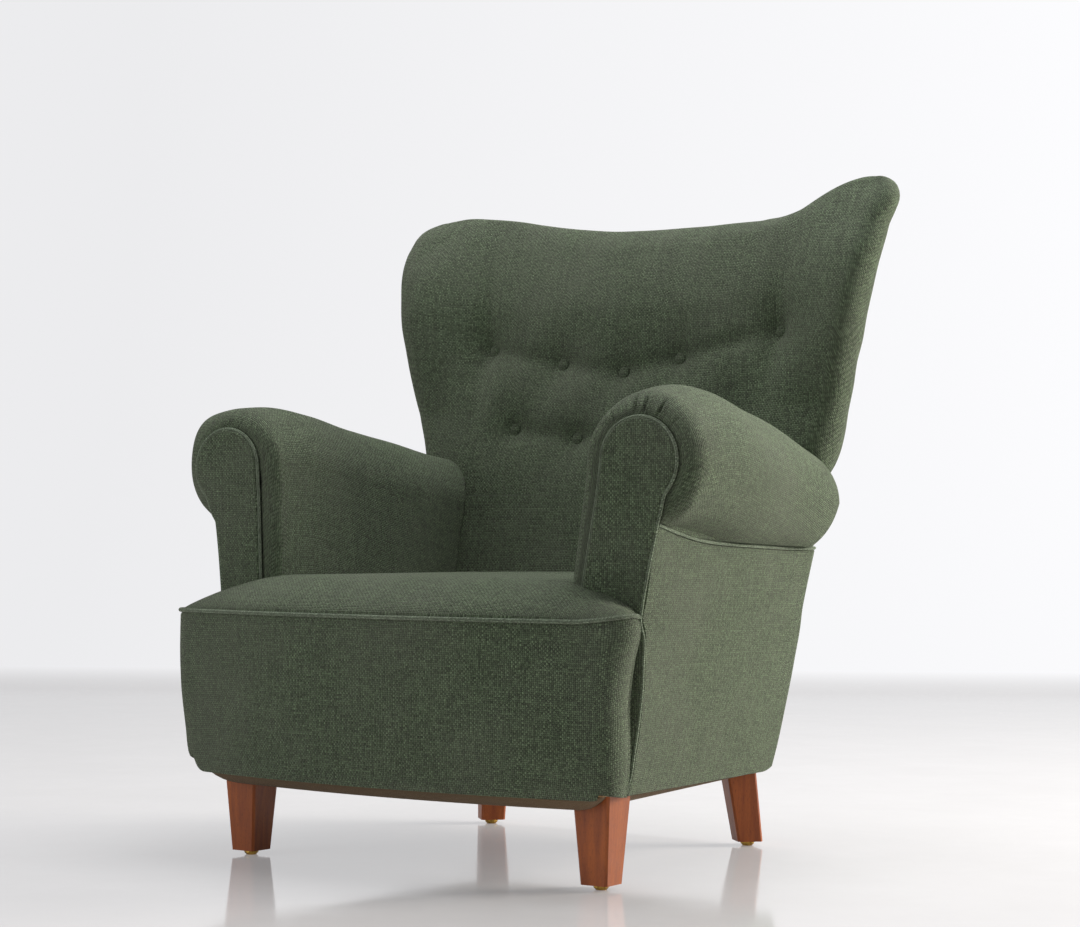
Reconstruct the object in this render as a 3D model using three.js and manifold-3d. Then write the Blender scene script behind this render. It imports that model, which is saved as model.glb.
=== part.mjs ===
// Wingback armchair with rolled arms, a tight sprung seat and a buttoned back.
// Millimetres, Z up. The sitter faces -Y, so the sitter's left is +X.
// Heights count from the floor. Depths count from the line of the front legs' centres,
// and the whole chair is then set with its footprint centred on the origin.
import * as THREE from 'three';
import { mergeVertices } from 'three/addons/utils/BufferGeometryUtils.js';
import Module from 'manifold-3d';

const wasm = await Module();
wasm.setup();

// Fits
const gap = 0.3; // left between pieces that touch
const overrun = 20; // how far a cut runs past what it cuts

// Widths, as halves from the middle line. They follow from the seat between the arms.
const seatNeckHalfWidth = 268;
const scrollRadius = 56;
const neckRadius = 84; // from the scroll's centre down to the neck
const scrollOffset = 74;
const scrollX = seatNeckHalfWidth + scrollOffset;
const neckHalfWidth = scrollX + neckRadius * Math.sin(Math.PI / 12);
const neckTaper = 45; // how much narrower the neck is at the back
const rearNeckHalfWidth = neckHalfWidth - neckTaper;
const panelFrontFlare = 36; // how much narrower the side panel's front is at the hem
const panelFrontHalfWidth = neckHalfWidth - panelFrontFlare;
const panelTaper = 69;
const rearHalfWidth = panelFrontHalfWidth - panelTaper; // the rear corners at the hem
const seatOverhang = 10;
const seatHalfWidth = neckHalfWidth + seatOverhang;
const facingOverlap = 2;
const facingInnerBottom = seatNeckHalfWidth - facingOverlap;
const armSwellTop = 12; // how far the arm's padding stands over the seat
const armInnerTop = seatNeckHalfWidth - armSwellTop;
const armSwellBottom = 28;
const armInnerBottom = seatNeckHalfWidth - armSwellBottom;
const armSwellRearTop = 18;
const armInnerRearTop = seatNeckHalfWidth - armSwellRearTop;
const armSwellRearBottom = 10;
const armInnerRearBottom = seatNeckHalfWidth - armSwellRearBottom;
const wingSpread = 32; // past the neck of the arms
const wingHalfWidth = neckHalfWidth + wingSpread; // to the middle line of the wing's edge
const wingCornerReach = 16;
const crestHalfWidth = wingHalfWidth + wingCornerReach;

// Legs and glides
const frontLegInset = 38;
const frontLegX = panelFrontHalfWidth - frontLegInset;
const frontLegTop = 56;
const frontLegFoot = 40;
const rearLegInset = 44;
const rearLegX = rearHalfWidth - rearLegInset;
const rearLegY = 488;
const rearLegTop = 45;
const rearLegFoot = 37;
const rearLegRake = 12; // the foot stands this far out and back from the leg's top
const legEdgeRadius = 3;
const glideRadius = 10;
const glideFlatRadius = 7;
const glideHeight = 7;
const glideStemRadius = 2.5;
const glideStemLength = 16;
const dowelRadius = 8;
const dowelLength = 32;
const dowelSides = 12;
const rearDowelInset = 10; // towards the chair's middle and its back

// Seat frame
const railBottom = 124;
const railHeight = 72;
const railThickness = 28;
const blockLeg = 62;
const blockHeight = 40;
const tenonThickness = 12;
const tenonHeight = 40;
const tenonLength = 16;

// Seat
const seatEdgeHeight = 342; // the piped front edge
const seatCrown = 46; // from the piped edge to the level of the seat
const seatMiddleCrown = 7;
const crownRun = 120; // how far in from the edge the seat becomes level
const seatTuckIn = 27; // how much narrower the front block is at its hem
const seatFrontY = -115;
const seatCornerY = -67; // the front edge is bowed, so its corners lie further back
const seatBlockBackY = -20;
const seatBackY = 501; // inside the back's padding, which trims the seat
const seatCornerRadius = 30;
const frontHem = 120;
const seatPadBottom = 332;
const seatStep = 2; // between the block and the deck behind it
const borderThickness = 18;
const borderBulge = 5;

// Webbing and springs
const webWidth = 50;
const webThickness = 1.6;
const webSetIn = 75; // from the rear legs to the outermost strips
const webPitchX = (rearLegX - webSetIn) / 2;
const webPitchY = 77.5;
const webStartY = 60;
const springEndRadius = 42;
const springWaistRadius = 27;
const springWire = 2;
const springTurns = 4;

// Arms
const facingY = 4; // the plane that the arm facings are fixed to
const facingThickness = 12;
const facingBottom = 345;
const facingDome = 4;
const scrollZ = 545;
const rollRadius = 85;
const rollDrop = 50; // how much lower the roll lies at the back
const armEndY = 545;
const armFrontRound = 28;
const armRearRound = 70;
const armWall = 28; // padding on the inside of the arm
const armRailWidth = 40;
const armRailRise = 12; // the rail's top above the roll's centre
const armRailDepth = 36;
const armPostDepth = 36;

// Outside panels
const panelThickness = 9;
const rearFlareSlope = 0.19;
const rearCornerY = 518;
const rearCornerSlope = 0.085;
const rearCornerRadius = 22;
const rearHem = 110;
const rearMiddleBow = 12;
const rearMiddleSlope = 0.095;
const rearBendHeight = 300; // above it the back leans further and further
const rearLeanHeight = 632;
const rearLeanDepth = 36; // by so much over that height

// Back and wings
const backPlaneY = 353.6; // where the plane of the back's face would meet the floor
const backRake = 0.21;
const backPad = 40;
const backBottom = 330;
const creaseInset = 11;
const creaseX = armInnerTop - creaseInset; // where the wings start to sweep forward
const wingRadius = 30;
const wingClearance = 1;
const wingPad = 18;
const recessReach = 12; // past the middle line of the wing's edge
const crestHeight = 923;
const wingTopRise = 35;
const wingTopHeight = crestHeight + wingTopRise;
const wingTopY = 580;
const crestRound = 38;
const crestRailInset = 25;
const crestRailHeight = 42;
const railSpace = 29; // depth kept for the frame behind the padding
const railClearance = 2; // round the rails inside the back
const postWidth = 28;
const postDepth = 46;
const postInset = 8;
const postFootX = rearHalfWidth - postInset;
const wingRailWidth = 22;
const wingRailDepth = 32;
const wingRailSweep = 90;
const crestRailSetback = 12;
const crestRailHalf = wingHalfWidth - crestRailSetback;
const lowerRailHeight = 60;
const lowerRailBottom = 400;

// Buttons
const buttonHeight = 702; // the middle one's
const buttonSpread = 256; // out to the widest pair
const buttonRadius = 11;
const buttonThickness = 6;
const tuftDepth = 15;
const tuftSpread = 30;

// Piping
const pipingRadius = 4.3;

// Dust cover
const dustThickness = 1.4;
const dustInset = 13;

// Shares along the arm, from the facing to the back
const rollRadiusShares = [
  [0, 1], [0.13, 1.08], [0.26, 1.07], [0.44, 1.02], [0.63, 0.95], [0.79, 0.88], [1, 0.83],
];
const neckDropShares = [[0, 0], [0.26, 0.4], [0.53, 0.54], [0.87, 0.63], [1, 0.6]];
const rollDropShares = [
  [0, 0], [0.13, -0.1], [0.26, 0.08], [0.44, 0.44], [0.63, 0.6], [0.79, 0.8], [1, 1.05],
];

// The middle line of the wing's edge, upwards: shares of its top's height, half width and depth
const wingHeightShares = [0.5386, 0.5846, 0.6263, 0.7098, 0.7933, 0.8768, 0.9186, 0.9603, 0.9812, 1];
const wingWidthShares = [0.7727, 0.8131, 0.8485, 0.899, 0.947, 0.9848, 1, 0.9975, 0.9798, 0.9444];
const wingDepthShares = [0.8948, 0.8966, 0.8983, 0.8879, 0.8828, 0.9, 0.919, 0.9569, 0.9793, 1];

// The crest from the middle to the wing's corner: shares of its half width and middle height
const crestWidthShares = [0, 0.2306, 0.4369, 0.5825, 0.699, 0.7767, 0.8738, 0.9466, 1];
const crestHeightShares = [1, 1.0011, 1.0108, 1.0195, 1.0325, 1.0433, 1.0477, 1.0423, 1.0293];

// Buttons, as shares across and up, and the levels of the padding between wing and crest
const buttonShares = [
  [-1, 1.0641], [-0.4023, 1.0185], [0, 1], [0.4023, 1.0185], [1, 1.0641],
  [-0.7227, 0.8803], [-0.2734, 0.8575], [0.2734, 0.8575], [0.7227, 0.8803],
];
const bendStartShare = 0.434; // above it the levels bend with the crest
const levelShares = [0, 0.17, 0.228, 0.3, 0.388, 0.475, 0.59, 0.7, 0.8, 0.9, 1];

const covers = { color: '#46573f', roughness: 0.95, metalness: 0 };
const pipe = { color: '#587152', roughness: 0.95, metalness: 0 };
const beech = { color: '#c79a6b', roughness: 0.6, metalness: 0 };
const stained = { color: '#8a4526', roughness: 0.4, metalness: 0 };
const brass = { color: '#b8963e', roughness: 0.3, metalness: 1 };
const steel = { color: '#8d9094', roughness: 0.4, metalness: 1 };
const jute = { color: '#a98b5d', roughness: 1, metalness: 0 };

const chair = new THREE.Group();
const clamp = THREE.MathUtils.clamp;
const lerp = THREE.MathUtils.lerp;
const half = (a, b) => (a + b) / 2;

// A smooth curve through points with rising xs, held level past its ends.
function through(xs, ys, x) {
  const last = xs.length - 1;
  if (x <= xs[0]) return ys[0];
  if (x >= xs[last]) return ys[last];
  let i = 0;
  while (x > xs[i + 1]) i += 1;
  const slope = (k) => {
    const a = Math.max(k - 1, 0);
    const b = Math.min(k + 1, last);
    return (ys[b] - ys[a]) / (xs[b] - xs[a]);
  };
  const run = xs[i + 1] - xs[i];
  const t = (x - xs[i]) / run;
  const rise = (1 - t) ** 2 * ((1 + 2 * t) * ys[i] + t * run * slope(i));
  return rise + t ** 2 * ((3 - 2 * t) * ys[i + 1] + (t - 1) * run * slope(i + 1));
}

const throughShares = (shares, t) => through(shares.map((p) => p[0]), shares.map((p) => p[1]), t);

// Whole numbers from zero, and evenly spaced numbers from a to b.
const numbered = (count) => Array.from({ length: count }, (_, i) => i);
const spaced = (a, b, count) => numbered(count).map((i) => lerp(a, b, i / (count - 1)));

// A shape whose coinciding points are one, without the triangles that collapse by that.
function tidied(loose) {
  const merged = mergeVertices(loose);
  const index = merged.index.array;
  const kept = [];
  for (let i = 0; i < index.length; i += 3) {
    const [a, b, c] = [index[i], index[i + 1], index[i + 2]];
    if (a !== b && b !== c && c !== a) kept.push(a, b, c);
  }
  merged.setIndex(kept);
  return merged;
}

// A closed body from points and triangles.
function body(points, triangles) {
  const loose = new THREE.BufferGeometry();
  loose.setAttribute('position', new THREE.Float32BufferAttribute(points.flat(), 3));
  loose.setIndex(triangles.flat());
  return tidied(loose);
}

// Two triangles for each cell of a strip between two rows of point numbers.
function strip(lower, upper, closed) {
  const cells = [];
  const count = closed ? lower.length : lower.length - 1;
  for (let i = 0; i < count; i += 1) {
    const j = (i + 1) % lower.length;
    cells.push([lower[i], lower[j], upper[j]], [lower[i], upper[j], upper[i]]);
  }
  return cells;
}

// A closed body through rings of equally many points. The end caps are cut into triangles
// in the plane of the two axes given, such as [0, 2] for X and Z. A last ring that is
// folded flat on itself needs no cap.
function loft(rings, axes, folded = false) {
  const size = rings[0].length;
  const numbers = rings.map((ring, r) => ring.map((_, i) => r * size + i));
  const triangles = [];
  for (let r = 0; r + 1 < rings.length; r += 1) {
    triangles.push(...strip(numbers[r], numbers[r + 1], true));
  }
  const cap = (r, alongRing) => {
    const outline = rings[r].map((p) => new THREE.Vector2(p[axes[0]], p[axes[1]]));
    const kept = THREE.ShapeUtils.isClockWise(outline) !== alongRing;
    for (const face of THREE.ShapeUtils.triangulateShape(outline, [])) {
      triangles.push((kept ? face : [...face].reverse()).map((i) => numbers[r][i]));
    }
  };
  cap(0, false);
  if (!folded) cap(rings.length - 1, true);
  return outward(body(rings.flat(), triangles));
}

// Turns a body's faces outwards if its volume comes out negative.
function outward(geometry) {
  const p = geometry.attributes.position;
  const index = geometry.index.array;
  const [a, b, c] = [new THREE.Vector3(), new THREE.Vector3(), new THREE.Vector3()];
  let volume = 0;
  for (let i = 0; i < index.length; i += 3) {
    a.fromBufferAttribute(p, index[i]);
    b.fromBufferAttribute(p, index[i + 1]);
    c.fromBufferAttribute(p, index[i + 2]);
    volume += a.dot(b.cross(c));
  }
  if (volume < 0) geometry.setIndex(Array.from(index).reverse());
  return geometry;
}

// Only the corners and faces of a shape.
function bare(geometry) {
  const copy = geometry.clone();
  copy.deleteAttribute('normal');
  copy.deleteAttribute('uv');
  return tidied(copy);
}

// A shape as a solid for joining and cutting, and back again.
function solid(geometry) {
  const merged = bare(geometry);
  const vertProperties = new Float32Array(merged.attributes.position.array);
  const triVerts = new Uint32Array(merged.index.array);
  return new wasm.Manifold(new wasm.Mesh({ numProp: 3, vertProperties, triVerts }));
}

function surface(cut) {
  const mesh = cut.getMesh();
  const geometry = new THREE.BufferGeometry();
  geometry.setAttribute('position', new THREE.BufferAttribute(mesh.vertProperties, 3));
  geometry.setIndex(new THREE.BufferAttribute(mesh.triVerts, 1));
  return geometry;
}

const without = (base, ...cutters) => surface(
  cutters.reduce((rest, cutter) => rest.subtract(solid(cutter)), solid(base)),
);
const joined = (base, ...others) => surface(
  others.reduce((sum, other) => sum.add(solid(other)), solid(base)),
);

// The same piece on the other side of the chair.
function mirrored(geometry) {
  const other = bare(geometry).scale(-1, 1, 1);
  other.setIndex(Array.from(other.index.array).reverse());
  return other;
}

function add(name, geometry, finish) {
  const shape = bare(geometry);
  shape.computeVertexNormals();
  const mesh = new THREE.Mesh(shape, new THREE.MeshStandardMaterial(finish));
  mesh.name = name;
  chair.add(mesh);
}

function addPair(name, geometry, finish) {
  add(`${name}_left`, geometry, finish);
  add(`${name}_right`, mirrored(geometry), finish);
}

// A block between two corners.
function block(x0, x1, y0, y1, z0, z1) {
  const box = new THREE.BoxGeometry(x1 - x0, y1 - y0, z1 - z0);
  return box.translate(half(x0, x1), half(y0, y1), half(z0, z1));
}

// A flat outline in plan, given thickness upwards.
function plate(points, z0, z1) {
  const shape = new THREE.Shape(points.map(([x, y]) => new THREE.Vector2(x, y)));
  const made = new THREE.ExtrudeGeometry(shape, { depth: z1 - z0, bevelEnabled: false });
  return made.translate(0, 0, z0);
}

// A round cord laid along points.
function cord(points, steps, sides, radius) {
  const section = new THREE.Shape(spaced(0, 2 * Math.PI, sides + 1).slice(0, sides).map(
    (angle) => new THREE.Vector2(radius * Math.cos(angle), radius * Math.sin(angle)),
  ));
  const stops = points.map((p) => new THREE.Vector3(...p));
  const extrudePath = new THREE.CatmullRomCurve3(stops, false, 'centripetal');
  return new THREE.ExtrudeGeometry(section, { steps, extrudePath, bevelEnabled: false });
}

// Plan of the seat's front edge, and of the outside panels.
const bowY = (x) => seatFrontY + (seatCornerY - seatFrontY) * (x / seatHalfWidth) ** 2;
const rearX = (z) => rearHalfWidth + rearFlareSlope * (z - rearHem);
const rearCorner = (z) => rearCornerY + rearCornerSlope * (z - rearHem);

function panelX(y, z) {
  const rise = clamp((z - railBottom) / (scrollZ - neckRadius - railBottom), 0, 1);
  const front = panelFrontHalfWidth + panelFrontFlare * rise ** 0.75;
  return lerp(front, rearX(z), clamp((y - facingY) / (rearCorner(z) - facingY), 0, 1));
}

// The back's front and rear faces.
const wingFoot = wingTopHeight * wingHeightShares[0];
const wingX = (z) => wingHalfWidth * through(wingHeightShares, wingWidthShares, z / wingTopHeight);
const wingY = (z) => wingTopY * through(wingHeightShares, wingDepthShares, z / wingTopHeight);
const crestShare = (x) => through(crestWidthShares, crestHeightShares, Math.abs(x) / crestHalfWidth);
const crestZ = (x) => crestHeight * crestShare(x);
const backPlane = (z) => backPlaneY + backRake * z;

function rearY(x, z) {
  const middle = rearCorner(z) + rearMiddleBow + (rearMiddleSlope - rearCornerSlope) * (z - rearHem)
    + rearLeanDepth * (Math.max(0, z - rearBendHeight) / rearLeanHeight) ** 2;
  const edge = z < wingFoot ? rearCorner(z) : wingY(z) + wingRadius;
  const halfWidth = z < wingFoot ? rearX(z) : wingX(z) + wingRadius;
  const low = Math.min(edge, middle);
  return middle - (middle - low) * Math.min(Math.abs(x) / halfWidth, 1) ** 2.2;
}

const buttonPlaces = buttonShares.map(([across, up]) => [across * buttonSpread, up * buttonHeight]);

const tuftsAt = (x, z) => buttonPlaces.reduce((sum, [bx, bz]) => {
  const away = (x - bx) ** 2 + (z - bz) ** 2;
  return sum + tuftDepth * Math.exp(-away / (2 * tuftSpread ** 2));
}, 0);

function frontY(x, z) {
  const forward = Math.max(0, backPlane(z) - (wingY(z) - wingRadius));
  const across = clamp((Math.abs(x) - creaseX) / (wingX(z) - creaseX), 0, 1);
  const wing = z < wingFoot ? 0 : forward * across ** 1.4;
  return backPlane(z) - wing + tuftsAt(x, z);
}

// The roll of the arm at a depth y.
const armShare = (y) => clamp((y - facingY) / (armEndY - facingY), 0, 1);
const rollR = (y) => rollRadius * throughShares(rollRadiusShares, armShare(y));
const rollZ = (y) => scrollZ - rollDrop * throughShares(rollDropShares, armShare(y));
const neckX = (y) => lerp(neckHalfWidth, rearNeckHalfWidth, armShare(y));
const rollX = (y) => neckX(y) - rollR(y) * Math.sin(Math.PI / 12);
const neckDrop = (y) => rollDrop * throughShares(neckDropShares, armShare(y));
const neckZ = (y) => scrollZ - neckRadius * Math.cos(Math.PI / 12) - neckDrop(y);
const innerTopX = (y) => lerp(armInnerTop, armInnerRearTop, armShare(y));
const innerBottomX = (y) => lerp(armInnerBottom, armInnerRearBottom, armShare(y));
const slotInner = (y) => innerTopX(y) + armWall;
const slotOuter = (y) => Math.min(slotInner(y) + armRailWidth, neckX(y) - borderThickness);
const slotTop = (y) => rollZ(y) + armRailRise;

// The scroll's outline seen from the front: how far it lies from its centre at an angle.
function scrollReach(angle) {
  const neckTurn = clamp((-Math.PI / 4 - angle) / (Math.PI / 6), 0, 1);
  return lerp(scrollRadius, neckRadius, neckTurn ** 2);
}

const neckAngle = -5 * Math.PI / 12;
const rollAngles = spaced(neckAngle, Math.PI, 15);
const facingAngles = spaced(neckAngle, Math.PI, 19);

// Outline of an arm facing, drawn in by an inset, from its inner foot over the scroll.
function facingOutline(inset) {
  const round = facingAngles.map((angle) => {
    const reach = scrollReach(angle) - inset;
    return [scrollX + reach * Math.cos(angle), scrollZ + reach * Math.sin(angle)];
  });
  const foot = panelX(facingY, facingBottom) - pipingRadius / 2 - inset;
  return [[foot, facingBottom], ...round, [facingInnerBottom + inset, facingBottom]];
}

// Section of the arm's padding at a depth y. The roll swells from the facing's outline
// at its front, and closes round the arm rail at its back.
function armSection(y, fill, close, grow) {
  const top = slotTop(y) + gap;
  const foot = neckZ(y) + pipingRadius + gap - grow;
  const cx = rollX(y);
  const cz = rollZ(y);
  const shrink = (x, z) => [
    x > slotOuter(y) ? lerp(slotOuter(y), x, close) : x,
    z > top ? lerp(top, z, close) : z,
  ];
  const inset = pipingRadius + gap;
  const roll = rollAngles.map((angle) => {
    const reach = lerp(scrollReach(angle) + inset, rollR(y), fill) + grow;
    const inner = angle > Math.PI / 2 ? (cx - innerTopX(y)) / rollR(y) : 1;
    const z = Math.max(cz + reach * Math.sin(angle), foot);
    return shrink(cx + reach * inner * Math.cos(angle), z);
  });
  const innerFoot = lerp(facingInnerBottom - inset, innerBottomX(y), fill) - grow;
  const innerTop = roll[roll.length - 1][0];
  const side = [0.35, 0.7].map((s) => [
    lerp(innerTop, innerFoot, s), lerp(cz, seatPadBottom, s),
  ]);
  return [
    [slotInner(y), seatPadBottom - grow], [slotInner(y), top], [slotOuter(y), top],
    [slotOuter(y), foot], shrink(neckX(y) - 2 * gap, foot), ...roll, ...side,
    [innerFoot, seatPadBottom - grow],
  ].map(([x, z]) => [x, y, z]);
}

function armForm(grow) {
  const front = [0, 0.15, 0.45, 1].map((s) => ({
    y: facingY + armFrontRound * s, fill: Math.sqrt(1 - (1 - s) ** 2), close: 1,
  }));
  const rearStart = armEndY - armRearRound;
  const middle = spaced(facingY + armFrontRound, rearStart, 9).slice(1);
  const rear = [0.35, 0.65, 0.85, 0.96].map((s) => ({
    y: rearStart + armRearRound * s, fill: 1, close: (1 - s ** 3) ** (1 / 3),
  }));
  const stations = [...front, ...middle.map((y) => ({ y, fill: 1, close: 1 })), ...rear];
  return loft(stations.map(({ y, fill, close }) => armSection(y, fill, close, grow)), [0, 2]);
}


// The back's padding as rings: across the face, round the wing's edge, back across the rear.
// Below the wings it is only as wide as the space between the arm rails.
const wingLow = slotTop(rearLegY) + wingClearance;
const lowHalfWidth = slotInner(rearLegY);
const cornerZ = crestZ(crestHalfWidth);
const ringHeight = (x, level) => level.z + (crestZ(x) - cornerZ) * level.bend;
const backColumns = spaced(-1, 1, 17);
const edgeTurns = spaced(Math.PI / 2, -Math.PI / 2, 6).slice(1, -1);

function backRing(level, grow) {
  const width = level.low ? lowHalfWidth + grow : wingX(level.z);
  const round = level.low ? 0 : wingRadius + grow;
  const place = (share, turn) => {
    const x = share * width;
    const z = ringHeight(x, level);
    const near = frontY(x, z) - grow;
    const far = rearY(x, z);
    const depth = Math.sin(turn) * level.full * (far - near) / 2;
    return [x + Math.sign(share) * round * Math.cos(turn), half(near, far) - depth, z];
  };
  return [
    ...backColumns.map((share) => place(share, Math.PI / 2)),
    ...edgeTurns.map((turn) => place(1, turn)),
    ...backColumns.map((share) => place(-share, -Math.PI / 2)),
    ...edgeTurns.map((turn) => place(-1, -turn)),
  ];
}

const bendStart = lerp(wingLow, cornerZ, bendStartShare);
const crestBend = (z, top) => clamp((z - bendStart) / (top - bendStart), 0, 1) ** 2;

function backLevels() {
  const low = [backBottom, half(backBottom, wingLow), wingLow - 2 * wingClearance].map(
    (z) => ({ z, bend: 0, full: 1, low: true }),
  );
  const shoulder = cornerZ - crestRound;
  const high = levelShares.map((share) => lerp(wingLow, shoulder, share)).map((z) => ({
    z, bend: crestBend(z, shoulder), full: 1, low: false,
  }));
  const top = [Math.PI / 3, Math.PI / 6, 0].map((turn) => ({
    z: cornerZ - crestRound * (1 - Math.cos(turn)), bend: 1, full: Math.sin(turn), low: false,
  }));
  return [...low, ...high, ...top];
}

const backForm = (grow) => loft(backLevels().map((level) => backRing(level, grow)), [0, 1], true);

// The space behind the back's padding, open to the rear, that holds the frame.
const wingShare = (x, z) => clamp((Math.abs(x) - creaseX) / (wingX(z) - creaseX), 0, 1);
const padDepth = (x, z) => lerp(backPad, wingPad, wingShare(x, z));
const smoothFrontY = (x, z) => frontY(x, z) - tuftsAt(x, z);
const recessY = (x, z) => Math.min(smoothFrontY(x, z) + padDepth(x, z), rearInnerY(x, z) - railSpace);
const recessX = (z) => wingX(z) + recessReach;

const recessColumns = [-1, -0.92, -0.84, -0.74, -0.6, -0.3, 0, 0.3, 0.6, 0.74, 0.84, 0.92, 1];

function recessRing(level, width) {
  const front = recessColumns.map((share) => share * width).map((x) => {
    const z = ringHeight(x, level);
    return [x, recessY(x, z), z];
  });
  const rear = recessColumns.map((share) => -share * width).map((x) => {
    const z = ringHeight(x, level);
    return [x, rearY(x, z) + overrun, z];
  });
  return [...front, ...rear];
}

// Levels up to the crest rail's top, which bend with the crest.
function frameLevels(top) {
  const heights = [...spaced(wingLow, bendStart, 4), ...spaced(bendStart, top, 6).slice(1)];
  return heights.map((z) => ({ z, bend: crestBend(z, top) }));
}

function recess() {
  const low = [backBottom - overrun, wingLow - wingClearance].map(
    (z) => recessRing({ z, bend: 0 }, lowHalfWidth + overrun),
  );
  const high = frameLevels(cornerZ - crestRailInset + railClearance).map(
    (level) => recessRing(level, recessX(level.z)),
  );
  return loft([...low, ...high], [0, 1]);
}

// The padded panel on the front of an arm, slightly domed.
function facing() {
  const back = facingY - gap;
  const front = back - facingThickness;
  const inset = pipingRadius + gap;
  const ring = (more, y) => facingOutline(inset + more).map(([x, z]) => [x, y, z]);
  return loft([
    ring(0, back), ring(0, half(back, front)),
    ring(facingDome / 2, front), ring(2 * facingDome, front - facingDome / 2),
  ], [0, 2]);
}

// The outside of the back and of the arms: faces on grids, given a thickness.
const rearPanelX = (z) => (z < wingLow ? rearX(z) - rearCornerRadius : recessX(z)) - gap;
const rearInnerY = (x, z) => rearY(x, z) - panelThickness - gap;

function outsideBack(grow, behind) {
  const low = spaced(rearHem - grow, wingLow - overrun, 4).map((z) => ({ z, bend: 0 }));
  const high = frameLevels(cornerZ - crestRailInset - gap + grow);
  const face = (away) => [...low, ...high].map((level) => recessColumns.map((share) => {
    const x = share * (rearPanelX(level.z) + grow);
    const height = ringHeight(x, level);
    return [x, rearY(x, height) + away, height];
  }));
  return stacked([face(behind), face(-panelThickness - grow)]);
}

function outsideArm(grow, aside) {
  const frontEdge = facingY + gap - grow;
  const sides = [0, 0.15, 0.3, 0.45, 0.6, 0.75, 0.9, 1];
  const face = (inset) => spaced(0, 1, 7).map((rise) => {
    const column = (y, x, share) => {
      const hem = lerp(frontHem, rearHem, share) - grow;
      const z = lerp(hem, neckZ(y) - pipingRadius - gap + grow, rise);
      return [x(z), y, z];
    };
    const guess = lerp(rearHem, neckZ(armEndY), rise);
    const radius = rearCornerRadius;
    const cornerY = rearCorner(guess) - radius;
    const side = sides.map((share) => column(
      lerp(frontEdge, cornerY, share), (z) => panelX(lerp(frontEdge, cornerY, share), z) - inset, share,
    ));
    const corner = [Math.PI / 6, Math.PI / 3, Math.PI / 2].map((turn) => column(
      cornerY + (radius - inset) * Math.sin(turn),
      (z) => rearX(z) - radius + (radius - inset) * Math.cos(turn), 1,
    ));
    return [...side, ...corner];
  });
  return stacked([face(-aside), face(panelThickness + grow)]);
}

// Seat: a level deck between the arms and a wider block in front of them.
const seatRows = [
  ...[0, 0.12, 0.35, 0.65, 1].map((share) => ({ share, neck: false })),
  ...spaced(0, 1, 9).map((share) => ({ share, neck: true })),
];
const seatColumns = spaced(-1, 1, 17);
const neckStart = seatBlockBackY + seatStep;

function seatPlan(column, row, out) {
  if (row.neck) return [column * seatNeckHalfWidth, lerp(neckStart, seatBackY, row.share)];
  const along = Math.min(row.share * (seatBlockBackY - seatCornerY), seatCornerRadius);
  const away = seatCornerRadius - along;
  const turn = Math.acos(away / seatCornerRadius);
  const width = seatHalfWidth - seatCornerRadius + Math.sqrt(seatCornerRadius ** 2 - away ** 2);
  const x = column * (width + out.side * Math.sin(turn));
  return [x, lerp(bowY(x), seatBlockBackY, row.share) - out.front * Math.cos(turn)];
}

function seatTop([x, y], row) {
  const ease = (run) => 1 - (1 - clamp(run / crownRun, 0, 1)) ** 2.2;
  const inFront = ease(y - bowY(x));
  const inSide = row.neck ? 1 : ease(seatHalfWidth - Math.abs(x));
  const middle = seatMiddleCrown * (1 - (x / seatHalfWidth) ** 2) * inFront;
  return seatEdgeHeight + seatCrown * inFront * inSide + middle;
}

// The front border below the piping: how far down, and how far out at the sides and in front.
const borderShares = [
  [0.05, 0, 0], [0.28, -0.05, 0.8], [0.57, 0.35, 1],
  [0.82, 0.75, 0.4], [0.95, 0.95, -0.3], [1, 1.15, -1.2],
];

const neckNotchShare = 0.02;

function seatForm() {
  const inset = pipingRadius + 4 * gap;
  const notch = { side: -inset, front: -inset };
  const outs = borderShares.map(([, side, front]) => ({
    side: -side * seatTuckIn, front: front * borderBulge,
  }));
  const lowest = (row) => (row.neck ? seatPadBottom : frontHem);
  const grid = (out, height) => seatRows.map((row) => seatColumns.map((column) => {
    const plan = seatPlan(column, row, out);
    return [...plan, height(plan, row)];
  }));
  const top = grid(notch, seatTop);
  const bottom = grid(outs[outs.length - 1], (plan, row) => lowest(row));
  const levels = [
    grid(notch, (plan, row) => (
      row.neck ? lerp(seatTop(plan, row), seatPadBottom, neckNotchShare) : seatEdgeHeight - inset
    )),
    ...outs.slice(0, -1).map((out, k) => grid(out, (plan, row) => {
      const share = borderShares[k][0];
      return lerp(row.neck ? seatTop(plan, row) : seatEdgeHeight, lowest(row), share);
    })),
  ];
  return stacked([top, ...levels, bottom]);
}

// A closed body from grids stacked downwards: the first and the last are whole faces,
// and of those between only the edges are used.
function stacked(grids) {
  const rows = grids[0].length;
  const cols = grids[0][0].length;
  const at = (r, c) => r * cols + c;
  const rim = [
    ...numbered(cols).map((c) => at(0, c)),
    ...numbered(rows - 1).map((r) => at(r + 1, cols - 1)),
    ...numbered(cols).reverse().slice(1).map((c) => at(rows - 1, c)),
    ...numbered(rows).reverse().slice(1, -1).map((r) => at(r, 0)),
  ];
  const size = rows * cols;
  const last = (grids.length - 1) * size;
  const triangles = [];
  for (let r = 0; r + 1 < rows; r += 1) {
    for (let c = 0; c + 1 < cols; c += 1) {
      const [p, q, s, t] = [at(r, c), at(r, c + 1), at(r + 1, c + 1), at(r + 1, c)];
      triangles.push([p, q, s], [p, s, t], [p + last, s + last, q + last], [p + last, t + last, s + last]);
    }
  }
  for (let k = 0; k + 1 < grids.length; k += 1) {
    triangles.push(...strip(rim.map((i) => i + (k + 1) * size), rim.map((i) => i + k * size), true));
  }
  return outward(body(grids.map((grid) => grid.flat()).flat(), triangles));
}

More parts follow.
